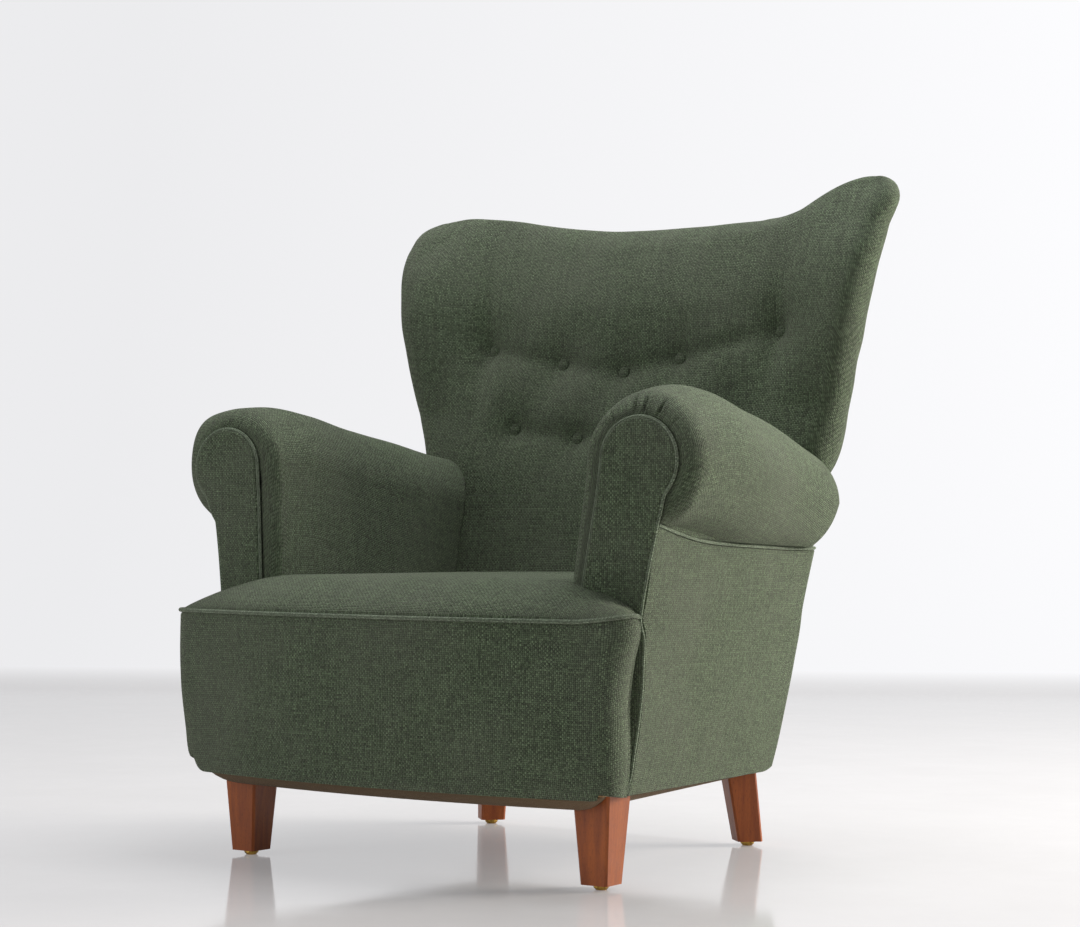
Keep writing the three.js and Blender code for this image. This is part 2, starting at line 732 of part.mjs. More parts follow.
// Seat frame
const railOuter = (y) => lerp(
  panelFrontHalfWidth, rearX(railBottom), (y - facingY) / (rearCorner(railBottom) - facingY),
) - panelThickness - gap;
const railTop = railBottom + railHeight;
const bowLine = (setback, width) => spaced(-width, width, 13).map((x) => [x, bowY(x) + setback]);
const frontRailWidth = panelFrontHalfWidth - gap;
const railFace = borderThickness + gap;

const frontRail = (grow) => plate([
  ...bowLine(railFace - grow, frontRailWidth),
  ...bowLine(railFace + railThickness + grow, frontRailWidth).reverse(),
], railBottom - grow, railTop + grow);

const postX = (z) => {
  const slope = (slotInner(armEndY) - gap - postFootX) / (slotTop(armEndY) - railBottom);
  return postFootX + slope * (z - railBottom);
};
const postRear = (z) => rearInnerY(postX(z), z) - railClearance;
const postFront = (z) => {
  const padded = z < backBottom ? 0 : recessY(postX(z) - postWidth, z) + railClearance;
  return Math.max(padded, postRear(z) - postDepth);
};

function backPost(grow) {
  const crestSeat = crestRailBottom(postX(crestHeight)) + crestRailHeight / 2;
  const heights = [railBottom, railTop, backBottom, ...spaced(half(backBottom, wingLow), crestSeat, 7)];
  return loft(heights.map((z) => {
    const [x0, x1] = [postX(z) - postWidth - grow, postX(z) + grow];
    const [y0, y1] = [postFront(z) - grow, postRear(z) + grow];
    return [[x0, y0, z], [x1, y0, z], [x1, y1, z], [x0, y1, z]];
  }), [0, 1]);
}

const crestRailTop = (x) => crestZ(x) - crestRailInset - railClearance;
const crestRailBottom = (x) => crestRailTop(x) - crestRailHeight;

function crestRail(grow) {
  return loft(spaced(-crestRailHalf - grow, crestRailHalf + grow, 15).map((x) => {
    const [z0, z1] = [crestRailBottom(x) - grow, crestRailTop(x) + grow];
    const y = (z) => recessY(x, z) + railClearance - grow;
    const rear = (z) => rearInnerY(x, z) - railClearance + grow;
    return [[x, y(z0), z0], [x, y(z1), z1], [x, rear(z1), z1], [x, rear(z0), z0]];
  }), [1, 2]);
}

function wingRail(grow) {
  const foot = wingLow - overrun;
  const head = crestRailBottom(wingX(crestHeight)) + crestRailHeight / 2;
  const seat = half(slotInner(armEndY), slotOuter(armEndY)) + gap;
  return loft(spaced(foot, head, 12).map((z) => {
    const x = lerp(seat, wingX(z), THREE.MathUtils.smoothstep(z, wingLow, wingLow + wingRailSweep));
    const [x0, x1] = [x - wingRailWidth / 2, x + wingRailWidth / 2];
    const rear = Math.min(rearInnerY(x0, z), rearInnerY(x1, z)) - railClearance;
    const front = Math.max(recessY(x0, z), recessY(x1, z)) + railClearance;
    const [y0, y1] = [Math.max(front, rear - wingRailDepth) - grow, rear + grow];
    return [[x0 - grow, y0, z], [x1 + grow, y0, z], [x1 + grow, y1, z], [x0 - grow, y1, z]];
  }), [0, 1]);
}

function armRail(grow) {
  const end = rearCorner(rollZ(armEndY)) - panelThickness - 2 * gap;
  return loft(spaced(facingY + gap - grow, end + grow, 9).map((y) => {
    const [x0, x1] = [slotInner(y) + gap - grow, slotOuter(y) - gap + grow];
    const z1 = slotTop(y) + grow;
    const z0 = slotTop(y) - armRailDepth - grow;
    return [[x0, y, z0], [x1, y, z0], [x1, y, z1], [x0, y, z1]];
  }), [0, 2]);
}

// Each wooden piece is kept as a solid while its joints are cut.
const wood = {};
const cut = (name, geometry) => { wood[name] = wood[name].subtract(solid(geometry)); };
const box = ([x0, x1, y0, y1, z0, z1], grow, side = 1) => {
  const made = block(x0 - grow, x1 + grow, y0 - grow, y1 + grow, z0 - grow, z1 + grow);
  return side > 0 ? made : mirrored(made);
};

// A tenon on one piece and its mortise in another. Pieces on the middle line
// take the mortise on both sides.
function tenon(from, into, corners, middle) {
  wood[from] = wood[from].add(solid(box(corners, 0)));
  cut(into, box(corners, gap));
  if (middle === into) cut(into, box(corners, gap, -1));
  if (middle === from) wood[from] = wood[from].add(solid(box(corners, 0, -1)));
}

function makeSeatFrame() {
  wood.front_seat_rail = solid(frontRail(0));
  const railStart = bowY(railOuter(0)) + railFace + railThickness / 2;
  const railEnd = postFront(railBottom);
  wood.side_seat_rail = solid(plate([
    [railOuter(railStart) - railThickness, railStart], [railOuter(railStart), railStart],
    [railOuter(railEnd), railEnd - gap], [railOuter(railEnd) - railThickness, railEnd - gap],
  ], railBottom, railTop)).subtract(solid(frontRail(gap)));
  wood.back_post = solid(backPost(0)).subtract(solid(outsideArm(gap, gap)));
  const rearFace = postRear(railBottom);
  const reach = postX(railBottom) - postWidth - gap;
  const railFront = rearFace - railThickness;
  wood.rear_seat_rail = solid(block(-reach, reach, railFront, rearFace, railBottom, railTop));
  const middle = half(railBottom, railTop);
  const low = middle - tenonHeight / 2;
  const high = middle + tenonHeight / 2;
  const frontX = railOuter(0) - railThickness / 2;
  const frontY0 = bowY(frontX) + railFace + railThickness;
  tenon('side_seat_rail', 'front_seat_rail', [
    frontX - tenonThickness / 2, frontX + tenonThickness / 2,
    frontY0 - tenonLength, frontY0 + tenonLength, low, high,
  ], 'front_seat_rail');
  const rearX0 = railOuter(railEnd) - railThickness / 2;
  tenon('side_seat_rail', 'back_post', [
    rearX0 - tenonThickness / 2, rearX0 + tenonThickness / 2,
    railEnd - tenonLength, railEnd + tenonLength, low, high,
  ]);
  const railMiddle = rearFace - railThickness / 2;
  tenon('rear_seat_rail', 'back_post', [
    reach - tenonThickness, reach + tenonThickness,
    railMiddle - tenonThickness / 2, railMiddle + tenonThickness / 2, low, high,
  ], 'rear_seat_rail');
}

function makeBlocks() {
  const [x, y] = [railOuter(0) - railThickness, bowY(railOuter(0)) + railFace + railThickness];
  const deep = railThickness / 2;
  wood.front_corner_block = solid(plate([
    [x - blockLeg, y - deep], [x + deep, y - deep], [x + deep, y + blockLeg],
  ], railBottom, railBottom + blockHeight)).subtract(solid(frontRail(gap)));
  const outer = railOuter(y + blockLeg) - railThickness - gap;
  wood.front_corner_block = wood.front_corner_block.subtract(solid(plate([
    [outer + (railOuter(y - overrun) - railOuter(y + blockLeg)), y - overrun],
    [outer, y + blockLeg], [outer + overrun + blockLeg, y + blockLeg],
    [outer + overrun + blockLeg, y - overrun],
  ], railBottom - overrun, railTop + overrun)));
  const reach = postX(railBottom) - postWidth - gap;
  const face = postRear(railBottom) - railThickness - gap;
  wood.rear_corner_block = solid(plate([
    [reach - blockLeg, face], [reach, face], [reach, face - blockLeg],
  ], railBottom, railBottom + blockHeight)).subtract(solid(box([
    railOuter(face) - railThickness - gap, railOuter(0), face - overrun - blockLeg, face + overrun,
    railBottom - overrun, railTop + overrun,
  ], 0)));
}

function makeUpperFrame() {
  wood.arm_rail = solid(armRail(0));
  const postBack = facingY + gap + armPostDepth;
  const [x0, x1] = [slotInner(facingY) + gap, slotOuter(postBack) - gap];
  wood.arm_post = solid(block(x0, x1, facingY + gap, postBack, railTop + gap, scrollZ));
  cut('arm_post', armRail(gap));
  const middleX = railOuter(postBack / 2) - railThickness / 2;
  const middleY = half(facingY, postBack);
  tenon('arm_post', 'side_seat_rail', [
    middleX - tenonThickness / 2, middleX + tenonThickness / 2,
    middleY - tenonThickness, middleY + tenonThickness, railTop - tenonLength, railTop + tenonLength,
  ]);
  const seatZ = slotTop(middleY) - armRailDepth;
  tenon('arm_post', 'arm_rail', [
    half(x0, x1) - tenonThickness / 2, half(x0, x1) + tenonThickness / 2,
    middleY - tenonThickness, middleY + tenonThickness, seatZ - tenonLength, seatZ + tenonLength,
  ]);
  wood.crest_rail = solid(crestRail(0));
  const crestX = postX(crestHeight) - postWidth / 2;
  const crestSeat = crestRailBottom(crestX);
  cut('back_post', crestRail(gap));
  cut('back_post', mirrored(crestRail(gap)));
  const postY = half(postFront(crestSeat), postRear(crestSeat));
  tenon('back_post', 'crest_rail', [
    crestX - tenonThickness / 2, crestX + tenonThickness / 2,
    postY - tenonThickness / 3, postY + tenonThickness / 3,
    crestSeat - tenonThickness / 2, crestSeat + tenonLength,
  ], 'crest_rail');
  wood.wing_rail = solid(wingRail(0));
  for (const other of [armRail(gap), crestRail(gap), mirrored(crestRail(gap))]) cut('wing_rail', other);
  const reach = postX(lowerRailBottom) - postWidth - gap;
  const rear = postRear(lowerRailBottom);
  wood.lower_back_rail = solid(block(
    -reach, reach, rear - railThickness, rear, lowerRailBottom, lowerRailBottom + lowerRailHeight,
  ));
}

// Legs: square, tapered, with eased edges.
function squareRing(x, y, z, width, turn) {
  const e = legEdgeRadius;
  const w = width / 2;
  const corners = [
    [w - e, -w], [w, e - w], [w, w - e], [w - e, w], [e - w, w], [-w, w - e], [-w, e - w], [e - w, -w],
  ];
  return corners.map(([px, py]) => [
    x + px * Math.cos(turn) - py * Math.sin(turn), y + px * Math.sin(turn) + py * Math.cos(turn), z,
  ]);
}

function turned(profile, x, y, segments) {
  const points = profile.map(([r, z]) => new THREE.Vector2(r, z));
  return new THREE.LatheGeometry(points, segments).rotateX(Math.PI / 2).translate(x, y, 0);
}

function leg(foot, top, dowelAt) {
  const taper = loft([squareRing(...foot), squareRing(...top)], [0, 1]);
  const z = railBottom - gap;
  const dowel = turned([
    [0, z - dowelRadius], [dowelRadius, z - dowelRadius],
    [dowelRadius, z + dowelLength], [0, z + dowelLength],
  ], ...dowelAt, dowelSides);
  const panels = [outsideArm(gap, overrun), outsideBack(gap, overrun)];
  return without(joined(without(taper, ...panels), dowel), glideStem(foot, gap));
}

const glideStem = ([x, y], grow) => turned([
  [0, glideHeight - overrun], [glideStemRadius + grow, glideHeight - overrun],
  [glideStemRadius + grow, glideHeight + glideStemLength + grow], [0, glideHeight + glideStemLength + grow],
], x, y, 8);

function glide([x, y]) {
  const top = glideHeight - gap;
  return turned([
    [0, 0], [glideFlatRadius, 0], [glideRadius, top / 2], [glideRadius, top], [glideStemRadius, top],
    [glideStemRadius, glideHeight + glideStemLength], [0, glideHeight + glideStemLength],
  ], x, y, 16);
}

function makeLegs() {
  const dowelHole = ([x, y]) => turned([
    [0, railBottom - overrun], [dowelRadius + gap, railBottom - overrun],
    [dowelRadius + gap, railBottom + dowelLength + gap], [0, railBottom + dowelLength + gap],
  ], x, y, dowelSides);
  const frontFoot = [frontLegX, 0, glideHeight, frontLegFoot, 0];
  const frontTop = [frontLegX, 0, railBottom - gap, frontLegTop, 0];
  const frontDowel = [railOuter(0) - railThickness / 2, 0];
  addPair('front_leg', leg(frontFoot, frontTop, frontDowel), stained);
  addPair('front_glide', glide(frontFoot), brass);
  cut('side_seat_rail', dowelHole(frontDowel));
  const footX = rearLegX + rearLegRake;
  const footY = rearLegY + rearLegRake;
  const rearFoot = [footX, footY, glideHeight, rearLegFoot, Math.PI / 4];
  const rearTop = [rearLegX, rearLegY, railBottom - gap, rearLegTop, Math.PI / 4];
  const rearDowel = [rearLegX - rearDowelInset, rearLegY + rearDowelInset];
  addPair('rear_leg', leg(rearFoot, rearTop, rearDowel), stained);
  addPair('rear_glide', glide(rearFoot), brass);
  cut('rear_seat_rail', dowelHole(rearDowel));
  cut('rear_seat_rail', mirrored(dowelHole(rearDowel)));
}

// Webbing, springs and dust cover
const webTop = railBottom - gap;
const webLow = webTop - webThickness;

function webbing() {
  const strips = [];
  const rearEnd = postRear(railBottom) - gap;
  for (let i = -2; i <= 2; i += 1) {
    const x = i * webPitchX;
    const frontEnd = bowY(x) + railFace + railThickness / 2;
    strips.push(block(x - webWidth / 2, x + webWidth / 2, frontEnd, rearEnd, webLow, webTop));
  }
  for (let i = 0; i < 5; i += 1) {
    const y = webStartY + i * webPitchY;
    const reach = railOuter(y + webWidth) - gap;
    strips.push(block(-reach, reach, y - webWidth / 2, y + webWidth / 2, webLow, webTop));
  }
  return joined(...strips);
}

class SpringLine extends THREE.Curve {
  constructor(x, y) {
    super();
    this.place = [x, y];
  }

  getPoint(t, target = new THREE.Vector3()) {
    const low = railBottom + springWire;
    const high = seatPadBottom - gap - springWire;
    const radius = lerp(springWaistRadius, springEndRadius, (2 * t - 1) ** 2);
    const turn = 2 * Math.PI * springTurns * t;
    const rise = THREE.MathUtils.smoothstep(t, -0.1, 1.1);
    const start = THREE.MathUtils.smoothstep(0, -0.1, 1.1);
    const share = (rise - start) / (1 - 2 * start);
    return target.set(
      this.place[0] + radius * Math.cos(turn),
      this.place[1] + radius * Math.sin(turn),
      lerp(low, high, share),
    );
  }
}

function spring(x, y) {
  const section = new THREE.Shape(spaced(0, 2 * Math.PI, 5).slice(0, 4).map(
    (angle) => new THREE.Vector2(springWire * Math.cos(angle), springWire * Math.sin(angle)),
  ));
  return new THREE.ExtrudeGeometry(section, {
    steps: 8 * springTurns, extrudePath: new SpringLine(x, y), bevelEnabled: false,
  });
}

function dustCover() {
  const side = spaced(facingY, rearCorner(railBottom) - rearCornerRadius, 5).map((y) => [
    railOuter(y) + panelThickness - dustInset, y,
  ]);
  const top = webLow - gap;
  const outline = [
    ...bowLine(railFace, frontRailWidth), ...side, ...side.map(([x, y]) => [-x, y]).reverse(),
  ];
  const sheet = plate(outline, top - dustThickness, top);
  const hole = (x, y, width, turn) => loft([top - overrun, top + overrun].map(
    (z) => squareRing(x, y, z, width + 4 * gap, turn),
  ), [0, 1]);
  const holes = [hole(frontLegX, 0, frontLegTop, 0), hole(rearLegX, rearLegY, rearLegTop, Math.PI / 4)];
  return without(sheet, ...holes, ...holes.map(mirrored));
}

// Piping
function facingPiping(grow) {
  const y = facingY - pipingRadius - gap;
  const foot = spaced(frontHem, facingBottom, 5).map((z) => [panelX(facingY, z) - pipingRadius / 2, y, z]);
  const round = facingAngles.map((angle) => {
    const reach = scrollReach(angle);
    return [scrollX + reach * Math.cos(angle), y, scrollZ + reach * Math.sin(angle)];
  });
  const inner = [0.5, 1].map((s) => [
    lerp(scrollX - scrollRadius, facingInnerBottom, s), y, lerp(scrollZ, seatEdgeHeight + seatCrown, s),
  ]);
  return cord([...foot, ...round, ...inner], 56, 6, pipingRadius + grow);
}

function seatPiping() {
  const level = ([x, y]) => [x, y, seatEdgeHeight];
  const edge = { side: 0, front: 0 };
  const corner = seatRows.filter((row) => !row.neck).map((row) => level(seatPlan(1, row, edge)));
  const front = seatColumns.slice(1, -1).map((column) => level(seatPlan(column, seatRows[0], edge)));
  const right = corner.map(([x, y, z]) => [-x, y, z]).reverse();
  return cord([...right, ...front, ...corner], 44, 6, pipingRadius);
}

function underArmPiping(grow) {
  const start = facingY + pipingRadius;
  const end = rearCorner(neckZ(armEndY)) - rearCornerRadius;
  const line = spaced(start - grow, end + grow, 9).map((y) => [neckX(y) - pipingRadius / 2, y, neckZ(y)]);
  return cord(line, 18, 6, pipingRadius + grow);
}

// Buttons, and the pockets in the padding that hold them. Depths run into the back.
function buttoned(profile, sides, [x, z]) {
  const disc = turned(profile.map(([r, depth]) => [r, -depth]).reverse(), 0, 0, sides);
  return disc.rotateX(Math.PI / 2 - Math.atan(backRake)).translate(x, frontY(x, z), z);
}

const buttonSides = 8;
const button = (place) => buttoned([
  [0, -buttonThickness], [buttonRadius / 2, -0.85 * buttonThickness],
  [0.85 * buttonRadius, -buttonThickness / 2],
  [buttonRadius, 0], [buttonRadius, buttonThickness / 3], [0, buttonThickness / 3],
], buttonSides, place);

const pocket = (place) => buttoned([
  [0, -2 * buttonThickness], [buttonRadius + gap, -2 * buttonThickness],
  [buttonRadius + gap, buttonThickness / 3 + gap], [0, buttonThickness / 3 + gap],
], buttonSides, place);

makeSeatFrame();
makeBlocks();
makeUpperFrame();
makeLegs();
const singles = ['front_seat_rail', 'rear_seat_rail', 'crest_rail', 'lower_back_rail'];
for (const name of Object.keys(wood)) {
  if (singles.includes(name)) add(name, surface(wood[name]), beech);
  else addPair(name, surface(wood[name]), beech);
}
add('seat_webbing', webbing(), jute);
for (const row of [0, 1, 2]) {
  for (const column of [-1, 0, 1]) {
    const place = [2 * column * webPitchX, webStartY + 2 * row * webPitchY];
    add(`seat_spring_${3 * row + column + 2}`, spring(...place), steel);
  }
}
add('dust_cover', dustCover(), jute);

const cavity = plate([
  ...bowLine(borderThickness, panelFrontHalfWidth),
  [panelFrontHalfWidth, seatBackY], [-panelFrontHalfWidth, seatBackY],
], frontHem - overrun, seatPadBottom);
const clearArm = armForm(gap);
const clearBack = backForm(gap);
const clearPanel = outsideBack(gap, overrun);
const bothSides = [clearBack, mirrored(clearBack), clearPanel, mirrored(clearPanel)];
const clearRails = [armRail(gap), wingRail(gap), backPost(gap)];
const sideRails = [armRail(gap), wingRail(gap)];
const frameCuts = [crestRail(gap), ...sideRails, ...sideRails.map(mirrored)];
add('seat_cushion', without(seatForm(), cavity, clearArm, mirrored(clearArm), clearBack), covers);
const pockets = buttonPlaces.map(pocket);
add('inside_back', without(backForm(0), recess(), clearPanel, ...frameCuts, ...pockets), covers);
addPair('arm_pad', without(armForm(0), ...bothSides, ...clearRails, underArmPiping(gap)), covers);
add('outside_back', outsideBack(0, 0), covers);
addPair('outside_arm', without(outsideArm(0, 0), underArmPiping(gap)), covers);
addPair('arm_facing', without(facing(), facingPiping(gap)), covers);
addPair('facing_piping', facingPiping(0), pipe);
add('seat_piping', seatPiping(), pipe);
addPair('under_arm_piping', underArmPiping(0), pipe);
buttonPlaces.forEach((place, i) => add(`back_button_${i + 1}`, button(place), covers));

const footprint = new THREE.Box3().setFromObject(chair);
chair.position.y = -half(footprint.min.y, footprint.max.y);

export default chair;
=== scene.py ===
import math
import bpy
import bmesh
import numpy as np
from mathutils import Matrix, Vector


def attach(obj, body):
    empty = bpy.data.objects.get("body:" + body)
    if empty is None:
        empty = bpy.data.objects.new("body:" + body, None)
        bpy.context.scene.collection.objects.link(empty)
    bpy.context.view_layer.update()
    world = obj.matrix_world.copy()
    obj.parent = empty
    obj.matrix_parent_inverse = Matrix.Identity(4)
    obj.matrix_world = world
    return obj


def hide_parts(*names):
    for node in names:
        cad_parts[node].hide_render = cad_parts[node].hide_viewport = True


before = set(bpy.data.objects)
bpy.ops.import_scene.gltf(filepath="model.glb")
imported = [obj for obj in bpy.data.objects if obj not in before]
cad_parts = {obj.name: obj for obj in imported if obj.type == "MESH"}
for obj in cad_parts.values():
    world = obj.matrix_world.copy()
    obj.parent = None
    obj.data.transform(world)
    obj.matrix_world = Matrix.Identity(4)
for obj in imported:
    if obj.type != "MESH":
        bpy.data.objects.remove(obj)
scene = bpy.context.scene


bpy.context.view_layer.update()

# Shapes are worked out in millimetres. Heights count from the floor, depths from the line of
# the front legs, and the last step sets them into the frame's metres.
frontLegLine = -258.515
gap = 0.3  # kept between pieces that touch
flip = np.array([-1.0, 1.0, 1.0])  # turns a left arm's points into a right arm's


def inFrame(points):
    return (np.asarray(points, float) + [0.0, frontLegLine, 0.0]) / 1000.0


def lerp(a, b, t):
    return a + (b - a) * t


# Smooth curve through points: on each stretch the cubic that has the points' heights, and at
# each point the slope between its two neighbours.
def through(xs, ys, x):
    xs, ys = np.array(xs, float), np.array(ys, float)
    x = np.clip(np.asarray(x, float), xs[0], xs[-1])
    i = np.clip(np.searchsorted(xs, x, side="right") - 1, 0, len(xs) - 2)
    before = np.maximum(np.arange(len(xs)) - 1, 0)
    after = np.minimum(np.arange(len(xs)) + 1, len(xs) - 1)
    slope = (ys[after] - ys[before]) / (xs[after] - xs[before])
    run = xs[i + 1] - xs[i]
    t = (x - xs[i]) / run
    low = (1 - t) ** 2 * ((1 + 2 * t) * ys[i] + t * run * slope[i])
    return low + t ** 2 * ((3 - 2 * t) * ys[i + 1] + (t - 1) * run * slope[i + 1])


# The same curve through (x, y) pairs, which most of the lists below are.
def throughPairs(pairs, x):
    return through([p[0] for p in pairs], [p[1] for p in pairs], x)


# Cloth lengths on a grid, in metres: across from the middle column, and down from the first row.
def clothUv(net):
    across = np.linalg.norm(np.diff(net, axis=1), axis=2)
    down = np.linalg.norm(np.diff(net, axis=0), axis=2)
    u = np.concatenate([np.zeros((net.shape[0], 1)), np.cumsum(across, axis=1)], axis=1)
    v = np.concatenate([np.zeros((1, net.shape[1])), np.cumsum(down, axis=0)], axis=0)
    u -= u[:, net.shape[1] // 2][:, None]
    return np.stack([u, v], axis=2) / 1000.0


# One mesh from grids of points and flat caps. Coinciding points become one, and faces turn
# outwards. A grid may come with its own cloth lengths.
def makeMesh(name, nets, caps=(), sharp=50):
    points, lengths, faces, start = [], [], [], 0
    for net in nets:
        grid, uv = net if isinstance(net, tuple) else (net, clothUv(net))
        rows, cols = grid.shape[:2]
        cell = start + np.arange(rows * cols).reshape(rows, cols)
        quads = np.stack([cell[:-1, :-1], cell[:-1, 1:], cell[1:, 1:], cell[1:, :-1]], axis=-1)
        faces += quads.reshape(-1, 4).tolist()
        points.append(grid.reshape(-1, 3))
        lengths.append(uv.reshape(-1, 2))
        start += rows * cols
    for ring, axes in caps:
        faces.append(list(range(start, start + len(ring))))
        points.append(ring)
        lengths.append(ring[:, axes] / 1000.0)
        start += len(ring)
    mesh = bpy.data.meshes.new(name)
    mesh.from_pydata(inFrame(np.concatenate(points)).tolist(), [], faces)
    layer = mesh.uv_layers.new(name="weave")
    corners = np.zeros(len(mesh.loops), dtype=np.int64)
    mesh.loops.foreach_get("vertex_index", corners)
    layer.data.foreach_set("uv", np.concatenate(lengths)[corners].astype(np.float32).ravel())
    work = bmesh.new()
    work.from_mesh(mesh)
    bmesh.ops.remove_doubles(work, verts=work.verts[:], dist=0.00002)
    bmesh.ops.recalc_face_normals(work, faces=work.faces[:])
    if work.calc_volume(signed=True) < 0:
        bmesh.ops.reverse_faces(work, faces=work.faces[:])
    work.to_mesh(mesh)
    work.free()
    mesh.shade_smooth()
    mesh.set_sharp_from_angle(angle=math.radians(sharp))
    return mesh


def makePiece(name, nets, caps=(), sharp=50):
    piece = bpy.data.objects.new(name, makeMesh(name, nets, caps, sharp))
    scene.collection.objects.link(piece)
    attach(piece, "root")
    return piece


# Cuts one closed body out of another and keeps the result.
def carve(piece, toolMesh):
    tool = bpy.data.objects.new("carver", toolMesh)
    scene.collection.objects.link(tool)
    change = piece.modifiers.new("carve", "BOOLEAN")
    change.operation, change.solver, change.object = "DIFFERENCE", "EXACT", tool
    bpy.context.view_layer.update()
    carved = bpy.data.meshes.new_from_object(piece.evaluated_get(bpy.context.evaluated_depsgraph_get()))
    piece.modifiers.clear()
    piece.data = carved
    bpy.data.objects.remove(tool)


def mirrorNets(nets):
    return [(net[0] * flip, net[1]) if isinstance(net, tuple) else net * flip for net in nets]


def mirrorCaps(caps):
    return [(ring * flip, axes) for ring, axes in caps]


# Evenly spread points along a smooth curve through the given ones.
def smoothPath(points, step):
    points = np.array(points, float)
    walked = np.concatenate([[0], np.cumsum(np.linalg.norm(np.diff(points, axis=0), axis=1))])
    fine = np.linspace(0, walked[-1], int(walked[-1] / step) + 2)
    return np.stack([through(walked, points[:, k], fine) for k in range(3)], axis=1)


# A round tube along a path that stays near a plane: each ring stands square to the path, and
# its first direction is square to the plane's normal too.
def tubeNet(path, radius, normal, sides=14):
    along = np.gradient(path, axis=0)
    along /= np.linalg.norm(along, axis=1)[:, None]
    side = np.cross(along, normal)
    side /= np.linalg.norm(side, axis=1)[:, None]
    other = np.cross(side, along)
    turn = np.linspace(0, 2 * math.pi, sides + 1)[None, :, None]
    net = path[:, None] + radius * (np.cos(turn) * side[:, None] + np.sin(turn) * other[:, None])
    return net, [(net[0, :-1], [0, 2]), (net[-1, :-1], [0, 2])]


# The outside panels' plan, shared by the seat, the arms and the back. rearSwell is how far the
# rear corner stands out at heights.
panels = {
    "frontHalfWidth": 327.74, "frontFlare": 36, "rearHalfWidth": 258.74, "rearFlareSlope": 0.19,
    "cornerY": 518, "cornerSlope": 0.085, "cornerRadius": 20, "railBottom": 124,
    "frontHem": 120, "rearHem": 110, "hemRun": 52, "hemRound": 25,
    "rearSwell": [(110, 6), (150, 8), (236, 7.5), (274, 6), (312, 4.5), (350, 0.5), (460, 0)],
    "sideSwellShare": 0.35, "middleBow": 12, "middleSlope": 0.095, "bendHeight": 300,
    "leanHeight": 632, "leanDepth": 36, "thickness": 9, "edgeRound": 2.6, "crown": 2.5,
}

# The arm. The shares are those along it, from the facing to the back.
arm = {
    "facingY": 4, "endY": 545, "scrollX": 342, "scrollZ": 545, "scrollRadius": 56,
    "neckRadius": 84, "rollRadius": 85, "rollDrop": 50, "neckHalfWidth": 363.74,
    "rearNeckHalfWidth": 318.74, "innerTop": 256, "innerRearTop": 250, "innerBottom": 240,
    "innerRearBottom": 258, "facingInnerBottom": 266, "facingBottom": 126, "padBottom": 332,
    "wall": 28, "railWidth": 40, "railRise": 12, "frontRound": 28, "innerRound": 13, "rearRound": 70,
    "pipingRadius": 2.5, "borderThickness": 18, "pleatWidth": 1.5,
    "rollRadiusShares": [(0, 1), (0.13, 1.08), (0.26, 1.07), (0.44, 1.02), (0.63, 0.95), (0.79, 0.88),
                         (1, 0.83)],
    "neckDropShares": [(0, 0), (0.26, 0.4), (0.53, 0.54), (0.87, 0.63), (1, 0.6)],
    "rollDropShares": [(0, 0), (0.13, -0.1), (0.26, 0.08), (0.44, 0.44), (0.63, 0.6), (0.79, 0.8),
                       (1, 1.05)],
}

# How the arms have settled: the stem's front leans forward and in, and the roll's rear end tucks
# in under itself and forward.
settle = {
    "stemRun": 90, "stemInnerX": 300, "stemBlend": 40, "stemTopZ": 520, "stemFall": 175,
    "stemForward": 16, "stemInward": 4,
    "rollFrom": 430, "rollRun": 115, "rollBlend": 40, "tuckIn": 9, "tuckForward": 30, "endForward": 9,
}

# The two arms as they are now. pleats: angles round the scroll with depths and lengths. rise: how
# much higher the roll's top stands at depths. stem: how far its outer edge leans out at heights.
# swell: how far the roll bulges on its outer side.
armSides = {
    "left": {
        "swell": 0,
        "pleats": [(66, 5.5, 11), (85, 7.5, 13), (97, 7, 13), (113, 2.5, 9), (127, 4.5, 9),
                   (136, 3.5, 8), (21, 2.5, 3.5), (-5, 3, 4), (44, 1.5, 7)],
        "rise": [(4, 0), (60, 1), (90, 5), (120, 10), (160, 15), (200, 18), (250, 19), (300, 18),
                 (350, 15), (400, 12), (450, 8), (500, 4), (545, 0)],
        "stem": [(118, 3), (145, 5), (170, 4), (230, 4), (272, 4), (293, 2), (315, 1), (331, -2),
                 (345, -7), (356, -5.5), (377, -3), (419, 0), (438, 3), (460, 6), (485, 4), (515, 0)],
    },
    "right": {
        "swell": 15,
        "pleats": [(70, 1.2, 9), (90, 1.6, 10), (108, 1.2, 9), (124, 1, 8)],
        "rise": [(4, -4), (32, -7), (60, -9.5), (90, -10), (120, -9), (160, -7), (200, -6),
                 (250, -4.5), (300, -5.5), (350, -6.5), (400, -6.5), (450, -5), (500, -3), (545, 0)],
        "stem": [(118, 0), (270, 0), (345, -7), (450, -7), (470, -3), (490, 0)],
    },
}
bulge = {"angle": 37, "spread": 25, "start": 28, "middleY": 40, "fade": 130}

